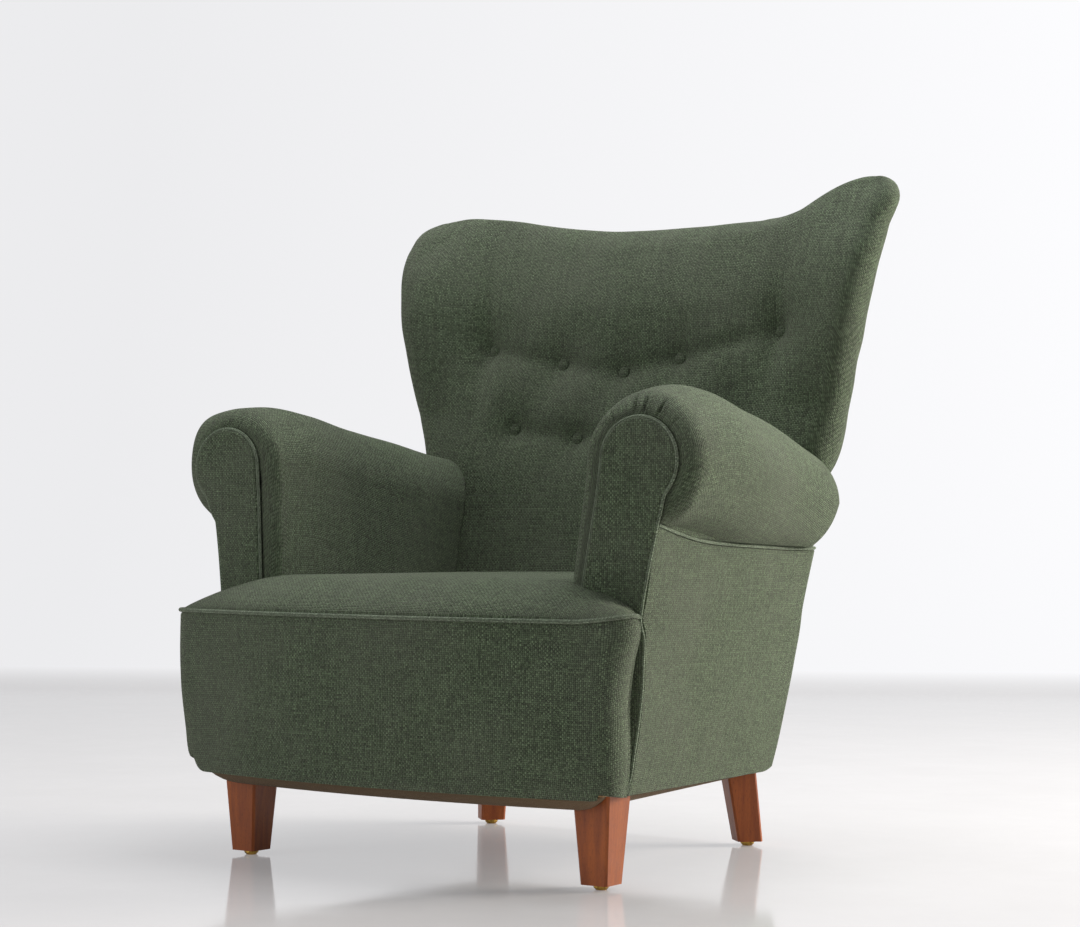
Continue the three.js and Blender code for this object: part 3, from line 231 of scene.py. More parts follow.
# The inside back. Tufts and folds are pairs of a depth and a spread. outline: angles from the
# sitter's left and distances from the middle point, on which the back's edge is set.
back = {
    "faceY": 501, "buttonHeight": 702, "rake": 0.21, "pad": 40, "bottom": 330, "creaseX": 245,
    "wingRadius": 30, "wingPad": 18, "crestRound": 38, "crestRailInset": 25, "railSpace": 29,
    "wingHeights": [516, 560, 600, 680, 760, 840, 880, 920, 940, 958],
    "wingHalfWidths": [305.8, 321.8, 335.8, 355.8, 374.8, 389.7, 395.7, 394.8, 387.7, 373.7],
    "wingDepths": [519, 520, 521, 515, 512, 522, 533, 555, 568, 580],
    "crestPlaces": [0, 94.9, 179.9, 239.8, 287.8, 319.8, 359.8, 389.7, 411.7],
    "crestHeights": [923, 924, 933, 941, 953, 963, 967, 962, 950],
    "buttons": [(-247, 741), (-111, 714), (1, 698), (98, 716), (263, 751),
                (-186, 614), (-69, 598), (70, 602), (185, 618)],
    "wideTuft": (11.0, 34.0), "closeTuft": (9.0, 11.0), "rowFold": (5.0, 15.0), "wingFold": (7.0, 20.0),
    "foldStep": 12, "foldLean": 0.03, "foldHeight": 745, "foldReach": 95,
    "columns": 221, "levelStep": 5.0, "middleHeight": 600, "shiftDepth": 40, "outlineFade": 6,
    "topRoll": 26, "topRun": 150, "topSkin": 8, "sweepPower": 1.4, "sweepShare": 0.8,
    "outline": [(-14, 344), (-10, 353), (-5.4, 363), (0, 369.5), (5.3, 376), (10.2, 389), (14.8, 402),
                (18.9, 421.5), (22.9, 439), (26.5, 459), (29.9, 480.5), (32.9, 503.5), (34.4, 514),
                (36, 524), (37.1, 537), (38.3, 546), (39.7, 549), (41.2, 550.5), (43.2, 547),
                (44.8, 535), (46.4, 517), (47.9, 496.5), (49.2, 475.5), (50.3, 454.5), (51.3, 434.5),
                (52.7, 418.5), (54.5, 403.5), (56.7, 391), (59.1, 378.5), (64.8, 358.5), (71.2, 341.3),
                (78.2, 330), (85.7, 323.8), (93.3, 324.3), (100.9, 331.5), (107.9, 347), (114.3, 369),
                (119.8, 396.5), (124.5, 428), (128.8, 460.4), (132.6, 492.8), (134.6, 506.5),
                (136.5, 519), (138.6, 528), (140.8, 533), (142.2, 533.5), (144.5, 527), (148.2, 504.5),
                (151.5, 480.5), (155.6, 456.5), (159.7, 431.5), (164.4, 412), (169.5, 394), (175, 377),
                (181, 361), (194, 346)],
}

# The seat's front block stands proud of the arms. Its plan at the top edge is given by half
# widths at depths behind its front corner, and its sides tuck in by the amounts at drops below
# the edge. Near is the sitter's left, far the sitter's right.
seat = {
    "edgeHeight": 342, "crown": 46, "middleCrown": 7, "crownRun": 120, "edgeCrown": 0.2, "edgeRun": 6,
    "halfWidth": 373.74, "frontY": -115, "cornerY": -67, "blockBackY": -9, "cornerRise": 8,
    "riseFrom": 300, "riseRun": 64, "padBottom": 332, "borderThickness": 18, "borderBulge": 4,
    "cavityHalfWidth": 322, "cornerRun": 30, "farCornerShare": 0.42,
    "bulgeShares": [(0.05, 0), (0.28, 0.8), (0.57, 1), (0.82, 0.4), (0.95, -0.3), (1, -1.2)],
    "nearPlan": [(0, 332), (1.5, 343), (5, 353), (12, 361), (20, 364.5), (28, 364.5), (38, 359), (47, 350)],
    "farPlan": [(0, 352), (1.5, 361), (5, 369), (10, 375), (20, 379), (30, 378), (40, 371), (47, 362)],
    "nearTuck": [(0, 0), (13, -3), (29, -1), (51, 5), (72, 8.5), (93, 11), (114, 12.5), (156, 12),
                 (177, 12), (199, 13.5), (222, 17)],
    "farTuck": [(0, 0), (25, 0.5), (64, 4), (103, 11), (130, 20), (152, 28), (172, 34), (192, 37),
                (222, 42)],
    "nearHemRound": 10, "farHemRound": 24, "sideRoll": 14.0, "sideDrop": 6.0, "columns": 161,
}


# Depth of the seat's bowed front edge.
def bowY(x):
    return seat["frontY"] + (seat["cornerY"] - seat["frontY"]) * (x / seat["halfWidth"]) ** 2


# The rear corner at a height: half width, and depth.
def rearX(z):
    swell = panels["sideSwellShare"] * throughPairs(panels["rearSwell"], z)
    return panels["rearHalfWidth"] + panels["rearFlareSlope"] * (z - panels["rearHem"]) + swell


def rearCorner(z):
    swell = throughPairs(panels["rearSwell"], z)
    return panels["cornerY"] + panels["cornerSlope"] * (z - panels["rearHem"]) + swell


# Half width of the side panel: flares with height at its front, and runs straight to the rear
# corner.
def panelX(y, z):
    top = arm["scrollZ"] - arm["neckRadius"]
    rise = np.clip((z - panels["railBottom"]) / (top - panels["railBottom"]), 0, 1)
    front = panels["frontHalfWidth"] + panels["frontFlare"] * rise ** 0.75
    along = np.clip((y - arm["facingY"]) / (rearCorner(z) - arm["facingY"]), 0, 1)
    return lerp(front, rearX(z), along)


# The arm's roll at a depth: radius, centre, neck and inner face.
def armShare(y):
    return np.clip((y - arm["facingY"]) / (arm["endY"] - arm["facingY"]), 0, 1)


def rollR(y):
    return arm["rollRadius"] * throughPairs(arm["rollRadiusShares"], armShare(y))


def rollZ(y):
    return arm["scrollZ"] - arm["rollDrop"] * throughPairs(arm["rollDropShares"], armShare(y))


def neckX(y):
    return lerp(arm["neckHalfWidth"], arm["rearNeckHalfWidth"], armShare(y))


def rollX(y):
    return neckX(y) - rollR(y) * math.sin(math.pi / 12)


def neckZ(y):
    drop = arm["rollDrop"] * throughPairs(arm["neckDropShares"], armShare(y))
    return arm["scrollZ"] - arm["neckRadius"] * math.cos(math.pi / 12) - drop


def innerTopX(y):
    return lerp(arm["innerTop"], arm["innerRearTop"], armShare(y))


def innerBottomX(y):
    return lerp(arm["innerBottom"], arm["innerRearBottom"], armShare(y))


def slotInner(y):
    return innerTopX(y) + arm["wall"]


def slotOuter(y):
    return np.minimum(slotInner(y) + arm["railWidth"], neckX(y) - arm["borderThickness"])


def slotTop(y):
    return rollZ(y) + arm["railRise"]


# The scroll seen from the front: its distance from the centre grows from the scroll's radius to
# the neck's over the last 30 degrees above the neck.
def scrollReach(angle):
    neckTurn = np.clip((-math.pi / 4 - angle) / (math.pi / 6), 0, 1)
    return lerp(arm["scrollRadius"], arm["neckRadius"], neckTurn ** 2)


neckAngle = -5 * math.pi / 12
wingLow = float(slotTop(488.0)) + 1
lowHalfWidth = float(slotInner(488.0))


# The back's front face: a raked plane with button dimples, from which the wings sweep forward.
def wingX(z):
    return through(back["wingHeights"], back["wingHalfWidths"], z)


def wingY(z):
    return through(back["wingHeights"], back["wingDepths"], z)


def crestZ(x):
    return through(back["crestPlaces"], back["crestHeights"], np.abs(x))


def backPlane(z):
    return back["faceY"] + back["rake"] * (z - back["buttonHeight"])


# Depth of the tufting: at each button a wide soft hollow and a close deep one, a shallow fold
# along each row between neighbouring buttons, and a crease up each wing through its button.
def tufts(x, z):
    depth = np.zeros(np.broadcast(x, z).shape)
    for bx, bz in back["buttons"]:
        away = (x - bx) ** 2 + (z - bz) ** 2
        for height, spread in (back["wideTuft"], back["closeTuft"]):
            depth = depth + height * np.exp(-away / (2 * spread ** 2))
    height, spread = back["rowFold"]
    for row in (back["buttons"][:5], back["buttons"][5:]):
        for (ax, az), (bx, bz) in zip(row[:-1], row[1:]):
            runX, runZ = bx - ax, bz - az
            along = np.clip(((x - ax) * runX + (z - az) * runZ) / (runX ** 2 + runZ ** 2), 0, 1)
            away = np.hypot(x - ax - along * runX, z - az - along * runZ)
            depth = depth + height * np.exp(-(away / spread) ** 2) * np.sin(math.pi * along) ** 0.6
    height, spread = back["wingFold"]
    line = back["creaseX"] + back["foldStep"] + back["foldLean"] * (z - back["buttonHeight"])
    fade = np.exp(-((z - back["foldHeight"]) / back["foldReach"]) ** 2)
    return depth + height * np.exp(-((np.abs(x) - line) / spread) ** 2) * fade


# The face without its tufts. Past the crease it sweeps forward to the wing's edge, by a blend of a
# power of the share across and a smooth step.
def smoothFrontY(x, z):
    forward = np.maximum(0, backPlane(z) - (wingY(z) - back["wingRadius"]))
    across = np.clip((np.abs(x) - back["creaseX"]) / (wingX(z) - back["creaseX"]), 0, 1)
    swept = lerp(across ** back["sweepPower"], across ** 2 * (3 - 2 * across), back["sweepShare"])
    return backPlane(z) - np.where(z < back["wingHeights"][0], 0, forward * swept)


def frontY(x, z):
    return smoothFrontY(x, z) + tufts(x, z)


# The chair's rear: lowest bow at the hem, bent backwards higher up, and drawn forward at the
# edges to meet the side panels or the wings.
def rearY(x, z):
    lean = panels["leanDepth"] * (np.maximum(0, z - panels["bendHeight"]) / panels["leanHeight"]) ** 2
    middle = rearCorner(z) + panels["middleBow"] + lean
    middle = middle + (panels["middleSlope"] - panels["cornerSlope"]) * (z - panels["rearHem"])
    under = z < back["wingHeights"][0]
    edge = np.where(under, rearCorner(z), wingY(z) + back["wingRadius"])
    halfWidth = np.where(under, rearX(z), wingX(z) + back["wingRadius"])
    low = np.minimum(edge, middle)
    return middle - (middle - low) * np.minimum(np.abs(x) / halfWidth, 1) ** 2.2


def rearInnerY(x, z):
    return rearY(x, z) - panels["thickness"] - gap


# The padding's inner face, which leaves room for the frame behind it.
def recessY(x, z):
    across = np.clip((np.abs(x) - back["creaseX"]) / (wingX(z) - back["creaseX"]), 0, 1)
    padded = smoothFrontY(x, z) + lerp(back["pad"], back["wingPad"], across)
    return np.minimum(padded, rearInnerY(x, z) - back["railSpace"])


crestEnd = back["crestPlaces"][-1]
cornerZ = back["crestHeights"][-1]


# A level's height across the back: it bends with the crest by its share of bend.
def ringHeight(x, z, bend):
    return z + (crestZ(np.clip(x, -crestEnd, crestEnd)) - cornerZ) * bend


# Levels of the back's padding from its bottom to the crest: height, how far each bends with the
# crest, how full its section is, and whether it lies between the arms.
def backLevels():
    low = np.linspace(back["bottom"], wingLow - 2, 14)
    shoulder = cornerZ - back["crestRound"]
    high = np.linspace(wingLow, shoulder, int((shoulder - wingLow) / back["levelStep"]))
    turns = np.radians(np.arange(82.5, -1, -7.5))
    top = cornerZ - back["crestRound"] * (1 - np.cos(turns))
    height = np.concatenate([low, high, top])
    bend = np.clip((height - back["buttonHeight"]) / (shoulder - back["buttonHeight"]), 0, 1) ** 2
    full = np.concatenate([np.ones(len(low) + len(high)), np.sin(turns)])
    between = np.arange(len(height)) < len(low)
    return height, bend, np.abs(full), between


# The outline that the padding's own levels give, as angles and distances from the middle point.
def ownOutline():
    height, bend, full, between = backLevels()
    wing = ~between
    tipX = wingX(height[wing]) + back["wingRadius"] * full[wing] ** 0.6
    tipZ = ringHeight(tipX, height[wing], bend[wing])
    topX = np.linspace(1, -1, 161) * wingX(height[-1])
    topZ = ringHeight(topX, height[-1], 1.0)
    x = np.concatenate([tipX, topX, -tipX[::-1]])
    z = np.concatenate([tipZ, topZ, tipZ[::-1]]) - back["middleHeight"]
    angle = np.degrees(np.arctan2(z, x))
    angle = np.where(angle < -90, angle + 360, angle)
    order = np.argsort(angle)
    return angle[order], np.hypot(x, z)[order]


ownAngles, ownReach = ownOutline()


# Moves points along rays from the middle point, so that the outermost come to lie on the wanted
# outline. Further in the move fades.
def toOutline(net):
    x, z = net[..., 0], net[..., 2] - back["middleHeight"]
    reach = np.hypot(x, z)
    angle = np.degrees(np.arctan2(z, x))
    angle = np.where(angle < -90, angle + 360, angle)
    own = np.interp(angle, ownAngles, ownReach)
    wanted = throughPairs(back["outline"], angle)
    near = np.clip(1 - (own - reach) / back["shiftDepth"], 0, 1) ** 1.5
    first, last = back["outline"][0][0], back["outline"][-1][0]
    ends = np.clip(np.minimum(angle - first, last - angle) / back["outlineFade"], 0, 1)
    scale = 1 + (wanted - own) * near * ends / np.maximum(reach, 1)
    return np.stack([x * scale, net[..., 1], z * scale + back["middleHeight"]], axis=-1)


edgeTurns = np.radians(np.arange(90, -91, -7.5))
wrapEnd = 22  # edge turns up to where the outside back begins


# Grids of the back's padding: the face with both rounded edges, the hollow behind it that holds
# the frame, and the closed rear above the hollow. Near its top the face rolls backwards. With
# hollow off, one plain closed form.
def backNets(grow=0.0, hollow=True, columns=None):
    height, bend, full, between = [v[:, None] for v in backLevels()]
    share = np.linspace(-1, 1, columns or back["columns"])[None, :]
    width = np.where(between, lowHalfWidth + grow, wingX(height))
    x = share * width
    z = ringHeight(x, height, bend)
    near, far = frontY(x, z) - grow, rearY(x, z)
    rolled = back["topRoll"] * np.clip(1 - (cornerZ - height) / back["topRun"], 0, 1) ** 1.5
    across = np.clip((np.abs(x) - back["creaseX"]) / (wingX(height) - back["creaseX"]), 0, 1)
    over = full * np.minimum(rolled, lerp(back["pad"], back["wingPad"], across) - back["topSkin"])
    front = np.stack([x, (near + far) / 2 - full * (far - near) / 2 + over, z], axis=2)
    rear = np.stack([x, (near + far) / 2 + full * (far - near) / 2, z], axis=2)
    turn = edgeTurns[None, :]
    edgeNear, edgeFar = near[:, -1:], far[:, -1:]
    edgeX = width + np.where(between, 0, (back["wingRadius"] + grow) * full ** 0.6) * np.cos(turn)
    edgeY = (edgeNear + edgeFar) / 2 - np.sin(turn) * full * (edgeFar - edgeNear) / 2
    edgeY = edgeY + over[:, -1:] * np.maximum(np.sin(turn), 0)
    if hollow:
        along = np.clip(np.arange(len(edgeTurns)) / (wrapEnd - 1), 0, 1)[None, :]
        sideY = lerp(near[:, -1:], recessY(width, z[:, -1:]), along)
        edgeY = np.where(between, sideY, edgeY)
    edge = np.stack([edgeX, edgeY, np.broadcast_to(z[:, -1:], edgeX.shape)], axis=2)
    if not hollow:
        otherEdge = edge[:, ::-1][:, 1:-1] * flip
        ring = np.concatenate([front, edge[:, 1:-1], rear[:, ::-1], otherEdge, front[:, :1]], axis=1)
        return [toOutline(ring)], [(toOutline(ring[0, :-1]), [0, 1])]
    wrap = edge[:, :wrapEnd]
    outer = np.concatenate([wrap[:, ::-1] * flip, front[:, 1:-1], wrap], axis=1)
    roof = int(np.argmax(height[:, 0] > cornerZ - back["crestRailInset"]))
    innerX = wrap[:, -1:, 0]
    hollowX = share[:, ::-1] * innerX
    hollowZ = ringHeight(hollowX, height, bend)
    hollowFront = np.stack([hollowX, recessY(hollowX, hollowZ), hollowZ], axis=2)
    wallShare = np.linspace(0, 1, len(edgeTurns) - wrapEnd + 1)[None, :, None]
    wall = lerp(wrap[:, -1:], hollowFront[:, :1], wallShare)
    inner = np.concatenate([wall[:, :-1], hollowFront, (wall[:, :-1] * flip)[:, ::-1]], axis=1)[:roof + 1]
    last = edge[:, wrapEnd - 1:]
    rearTop = np.concatenate([last[:, :-1], rear[:, ::-1], (last[:, :-1] * flip)[:, ::-1]], axis=1)[roof:]
    roofNet = np.stack([inner[-1], rearTop[0]])
    bottom = np.concatenate([outer[0], inner[0][1:-1]])
    return [toOutline(net) for net in (outer, inner, roofNet, rearTop)], [(toOutline(bottom), [0, 1])]


# Stacks grids downwards into a closed body: first and last are whole faces, and of those
# between only the rims are used. The cloth lengths round the rims count from the front's middle.
def stackedNets(grids):
    def rim(grid):
        return np.concatenate([grid[0], grid[1:, -1], grid[-1, -2::-1], grid[-2:0:-1, 0], grid[:1, 0]])
    rims = np.stack([rim(grid) for grid in grids])
    ring = rims[len(rims) // 3]
    u = np.concatenate([[0], np.cumsum(np.linalg.norm(np.diff(ring, axis=0), axis=1))]) / 1000.0
    v = clothUv(rims)[..., 1]
    lengths = np.stack([np.broadcast_to(u - u[grids[0].shape[1] // 2], v.shape), v], axis=2)
    return [grids[0], (rims, lengths), grids[-1]]


# How far in the arm's padding lies at a depth and height.
def armInnerX(y, z):
    s = np.clip((y - arm["facingY"]) / arm["frontRound"], 0, 1)
    fill = np.sqrt(1 - (1 - s) ** 2)
    inset = arm["pipingRadius"] + gap
    cx, radius = rollX(y), rollR(y)
    top = cx - lerp(arm["scrollRadius"] + inset, radius, fill) * (cx - innerTopX(y)) / radius
    foot = lerp(arm["facingInnerBottom"] - inset, innerBottomX(y), fill)
    return lerp(top, foot, np.clip((rollZ(y) - z) / (rollZ(y) - arm["padBottom"]), 0, 1))


# How the stem has moved near its front, in plan: its inner edge leans forward and in lower down,
# and its outer edge follows the side's own list. Points are those of a left arm.
def settleStem(net, side):
    x, y, z = net[..., 0], net[..., 1], net[..., 2]
    front = np.clip(1 - (y - arm["facingY"]) / settle["stemRun"], 0, 1) ** 1.5
    outer = np.clip((x - settle["stemInnerX"]) / settle["stemBlend"], 0, 1)
    low = np.clip((settle["stemTopZ"] - z) / settle["stemFall"], 0, 1)
    inner = (1 - outer) * low
    moved = outer * throughPairs(armSides[side]["stem"], z) - settle["stemInward"] * inner
    return np.stack([x + front * moved, y - settle["stemForward"] * front * inner, z], axis=-1)


# How the roll has settled: its top stands higher or lower along its length, and its rear end
# tucks in under itself.
def settleRoll(net, side):
    x, y, z = net[..., 0], net[..., 1], net[..., 2]
    foot, top = neckZ(y), rollZ(y) + rollR(y)
    rise = throughPairs(armSides[side]["rise"], y) * np.clip((z - foot) / (top - foot), 0, 1)
    behind = np.clip((y - settle["rollFrom"]) / settle["rollRun"], 0, 1) ** 2
    under = np.clip((rollZ(y) - z) / (rollZ(y) - foot), 0, 1) * behind
    outer = np.clip((x - rollX(y)) / settle["rollBlend"], 0, 1)
    forward = settle["tuckForward"] * under ** 0.8 * (1 - under ** 8) + settle["endForward"] * behind
    return np.stack([x - settle["tuckIn"] * under * outer, y - forward * outer, z + rise], axis=-1)


# Sections of the arm's padding at depths: the slot for the arm rail, then from the neck round
# the roll and down the inside. At its front the roll swells from the facing's outline by a
# quarter round, gathered in pleats that are pressed in square to the cloth. At its rear it
# closes round the rail, and it stays in front of the outside back.
def armNets(side):
    t = np.linspace(0, math.pi / 2, 19)
    front = [(arm["facingY"] + arm["frontRound"] * (1 - math.cos(a)), math.sin(a), 1.0) for a in t]
    rollColumns = 300
    rearStart = arm["endY"] - arm["rearRound"]
    middle = [(y, 1.0, 1.0) for y in np.linspace(arm["facingY"] + arm["frontRound"], rearStart, 56)[1:]]
    rearSteps = np.sin(np.linspace(0.08, 1.47, 20))
    rear = [(rearStart + arm["rearRound"] * s, 1.0, (1 - s ** 3) ** (1 / 3)) for s in rearSteps]
    y, fill, close = [np.array(v)[:, None] for v in zip(*(front + middle + rear))]
    top, outer, inner = slotTop(y) + gap, slotOuter(y), slotInner(y)
    foot = neckZ(y) + arm["pipingRadius"] + gap
    cx, cz, radius = rollX(y), rollZ(y), rollR(y)
    inset = arm["pipingRadius"] + gap
    angle = np.linspace(neckAngle, math.pi, rollColumns)[None, :]
    quick = np.sqrt(1 - (1 - np.clip((y - arm["facingY"]) / arm["innerRound"], 0, 1)) ** 2)
    inward = np.clip((angle - 1.9) / 1.0, 0, 1)
    reach = lerp(scrollReach(angle) + inset, radius, lerp(fill, quick, inward))
    slope = np.concatenate([t, np.full(len(y) - len(t), math.pi / 2)])[:, None]
    lean = np.stack([(radius - arm["scrollRadius"]) * np.cos(slope), arm["frontRound"] * np.sin(slope)])
    lean /= np.linalg.norm(lean, axis=0)
    pushed = 0 * reach
    for middleAngle, depth, length in armSides[side]["pleats"]:
        across = (np.degrees(angle) - middleAngle) / arm["pleatWidth"]
        fade = np.exp(-((y - arm["facingY"]) / length) ** 2) * np.clip(3 * np.sin(slope), 0, 1)
        pushed = pushed + depth * fade * (np.exp(-across ** 2) - 0.3 * np.exp(-(across / 3) ** 2))
    turned = (np.degrees(angle) - bulge["angle"]) / bulge["spread"]
    placed = np.clip((y - arm["facingY"]) / bulge["start"], 0, 1)
    placed = placed * np.exp(-((y - bulge["middleY"]) / bulge["fade"]) ** 2)
    swell = armSides[side]["swell"] * np.exp(-turned ** 2) * placed
    reach = reach - pushed * lean[1] + swell
    squeeze = np.where(angle > math.pi / 2, (cx - innerTopX(y)) / radius, 1)
    rollXs = cx + reach * squeeze * np.cos(angle)
    rollZs = np.maximum(cz + reach * np.sin(angle), foot)
    neck = neckX(y) - 2 * gap
    xs = np.concatenate([neck, rollXs], axis=1)
    zs = np.concatenate([foot, rollZs], axis=1)
    xs = np.where(xs > outer, lerp(outer, xs, close), xs)
    zs = np.where(zs > top, lerp(top, zs, close), zs)
    innerFoot = lerp(arm["facingInnerBottom"] - inset, innerBottomX(y), quick)
    down = np.linspace(0, 1, 26)[None, 1:]
    sideX = lerp(xs[:, -1:], innerFoot, down)
    sideZ = lerp(zs[:, -1:], arm["padBottom"], down)
    bottom = np.full_like(y, arm["padBottom"])
    skinX, skinZ = np.concatenate([xs, sideX], axis=1), np.concatenate([zs, sideZ], axis=1)
    skinY = np.broadcast_to(y, skinX.shape).copy()
    skinY[:, 1:rollColumns + 1] += pushed * lean[0]
    skin = np.stack([skinX, skinY, skinZ], axis=2)
    skin = settleStem(settleRoll(skin, side), side)
    slotX = np.concatenate([inner, inner, outer, outer], axis=1)
    slotZ = np.concatenate([bottom, top, top, foot], axis=1)
    slot = np.stack([slotX, np.broadcast_to(y, slotX.shape), slotZ], axis=2)
    net = np.concatenate([slot, skin, slot[:, :1]], axis=1)
    behind = (net[..., 0] < rearX(net[..., 2]) - 12) & (net[..., 2] < 520)
    limit = rearInnerY(net[..., 0], net[..., 2]) - 1
    net[..., 1] = np.where(behind, np.minimum(net[..., 1], limit), net[..., 1])
    return [net], [(net[0, :-1], [0, 2]), (net[-1, :-1], [0, 2])]


print("making the back")
backNet, backCap = backNets()
insideBack = makePiece("insideBack", backNet, backCap)
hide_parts("inside_back")

print("making the arms")
envelopeNets, envelopeCaps = backNets(grow=gap, hollow=False, columns=81)
armPads = []
for side in ("left", "right"):
    nets, caps = armNets(side)
    if side == "right":
        nets, caps = mirrorNets(nets), mirrorCaps(caps)
    pad = makePiece(f"armPad_{side}", nets, caps, sharp=60)
    carve(pad, makeMesh("backEnvelope", envelopeNets, envelopeCaps))
    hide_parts(f"arm_pad_{side}")
    armPads.append(pad)


# The seat in plan: rows in the front block run back from the bowed edge, and the rows behind it
# lie between the arms and end at the back's face. The block is grown by front and side amounts.
blockRows = 15


def seatPlan(near, far, front, lowered):
    column = np.linspace(-1, 1, seat["columns"])[None, :]
    blockShare = (1 - np.cos(np.linspace(0, math.pi / 2, blockRows)))[:, None]
    run = blockShare * (seat["blockBackY"] - seat["cornerY"])
    turn = np.arccos(np.clip(1 - run / seat["cornerRun"], 0, 1))
    nearWidth = throughPairs(seat["nearPlan"], run) + near * np.sin(turn)
    farWidth = throughPairs(seat["farPlan"], run) + far * np.maximum(np.sin(turn), seat["farCornerShare"])
    x = column * np.where(column > 0, nearWidth, farWidth)
    y = lerp(bowY(x), seat["blockBackY"], blockShare) - front * np.cos(turn)
    deckShare = np.linspace(0, 1, 90)[:, None]
    height = arm["padBottom"] if lowered else seat["edgeHeight"] + seat["crown"]
    deckY = np.broadcast_to(lerp(seat["blockBackY"] + 2, backPlane(height) - gap, deckShare), (90, 1))
    deckX = column * (armInnerX(deckY, height) - gap)
    return np.concatenate([x, deckX]), np.concatenate([y, np.broadcast_to(deckY, deckX.shape)])


# The top edge rises towards the near corner.
def edgeZ(x):
    share = np.clip((x - seat["riseFrom"]) / seat["riseRun"], 0, 1)
    return seat["edgeHeight"] + seat["cornerRise"] * share ** 1.5


# How far the hem is lifted at the block's corners, by a quarter round that fades to the rear.
def hemLift(x):
    near = np.clip(1 + (x - x[:, -1:]) / seat["nearHemRound"], 0, 1)
    far = np.clip(1 - (x - x[:, :1]) / seat["farHemRound"], 0, 1)
    lift = seat["nearHemRound"] * (1 - np.sqrt(1 - near ** 2))
    lift += seat["farHemRound"] * (1 - np.sqrt(1 - far ** 2))
    lift[:blockRows] *= np.linspace(1, 0, blockRows)[:, None]
    return lift


# Crown of the seat: steep in its first few millimetres, then easing to the top.
def seatTop(x, y):
    def ease(run):
        eased = 1 - (1 - np.clip(run / seat["crownRun"], 0, 1)) ** 2.2
        return lerp(eased, 1 - np.exp(-np.maximum(run, 0) / seat["edgeRun"]), seat["edgeCrown"])
    inFront = ease(y - bowY(x))
    inSide = ease(np.abs(x[:, -1:]) - x) * ease(x - x[:, :1])
    inSide[blockRows:] = 1
    middle = seat["middleCrown"] * (1 - (x / seat["halfWidth"]) ** 2) * inFront
    edge = seat["sideDrop"] * np.clip(1 - (np.abs(x[:, -1:]) - np.abs(x)) / seat["sideRoll"], 0, 1) ** 2
    edge[:blockRows] = 0
    return edgeZ(x) + seat["crown"] * inFront * inSide + middle - edge


# The seat's grids, downwards: its top, a notch for the piping, then the block's face with its
# bulge and tuck while the deck behind it narrows to the padding's underside, and the hollow that
# the frame fills.
def seatNets():
    inset = arm["pipingRadius"]
    x, y = seatPlan(-inset, -inset, -inset, False)
    z = seatTop(x, y)
    deck = np.zeros_like(z, bool)
    deck[blockRows:] = True
    grids = [np.stack([x, y, z], axis=2)]
    notch = np.where(deck, lerp(z, arm["padBottom"], 0.02), edgeZ(x) - inset)
    grids.append(np.stack([x, y, notch], axis=2))
    for share in np.concatenate([np.linspace(0.03, 0.95, 24), [0.97, 0.985, 0.995, 1.0]]):
        drop = share * (seat["edgeHeight"] - panels["frontHem"])
        near, far = -throughPairs(seat["nearTuck"], drop), -throughPairs(seat["farTuck"], drop)
        front = throughPairs(seat["bulgeShares"], share) * seat["borderBulge"]
        px, py = seatPlan(float(near), float(far), float(front), False)
        lx, ly = seatPlan(float(near), float(far), float(front), True)
        px[blockRows:] = lerp(px, lx, share)[blockRows:]
        py[blockRows:] = lerp(py, ly, share)[blockRows:]
        hem = panels["frontHem"] + hemLift(px) * share ** 3
        height = np.where(deck, lerp(z, arm["padBottom"], share), lerp(edgeZ(px), hem, share))
        grids.append(np.stack([px, py, height], axis=2))
    inX = np.clip(px, -seat["cavityHalfWidth"], seat["cavityHalfWidth"])
    inY = np.maximum(py, bowY(inX) + seat["borderThickness"])
    grids.append(np.stack([inX, inY, height], axis=2))
    grids.append(np.stack([inX, inY, np.full_like(inX, arm["padBottom"])], axis=2))
    return stackedNets(grids)


print("making the seat")
seatCushion = makePiece("seatCushion", seatNets())
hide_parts("seat_cushion")


# A facing is a covered board. Beside the block its stem is narrower.
facing = {"thickness": 7.5, "rounding": 3.2, "pipingInset": 1.38, "stemX": (300, 304), "stemZ": (318, 300)}


# Outline of an arm facing: from the hem up its outer edge, over the scroll and down its inner
# edge to the seat, then down beside the front block.
def facingOutline(inset):
    angle = np.linspace(neckAngle, math.pi, 72)
    reach = scrollReach(angle) - inset
    roundX = arm["scrollX"] + reach * np.cos(angle)
    roundZ = arm["scrollZ"] + reach * np.sin(angle)
    downZ = np.linspace(arm["facingBottom"], roundZ[0], 30)[:-1]
    downX = panelX(arm["facingY"], downZ) - arm["pipingRadius"] / 2 - inset
    downX = lerp(downX, np.linspace(downX[0], roundX[0], 29), np.linspace(0, 1, 29) ** 6)
    inX = np.linspace(roundX[-1], arm["facingInnerBottom"] + inset, 12)[1:]
    inZ = np.linspace(roundZ[-1], seat["edgeHeight"], 12)[1:]
    stemX = np.array([*facing["stemX"], facing["stemX"][1]]) + inset
    stemZ = np.array([*facing["stemZ"], arm["facingBottom"]])
    x = np.concatenate([downX, roundX, inX, stemX, downX[:1]])
    return np.stack([x, np.concatenate([downZ, roundZ, inZ, stemZ, downZ[:1]])], axis=1)


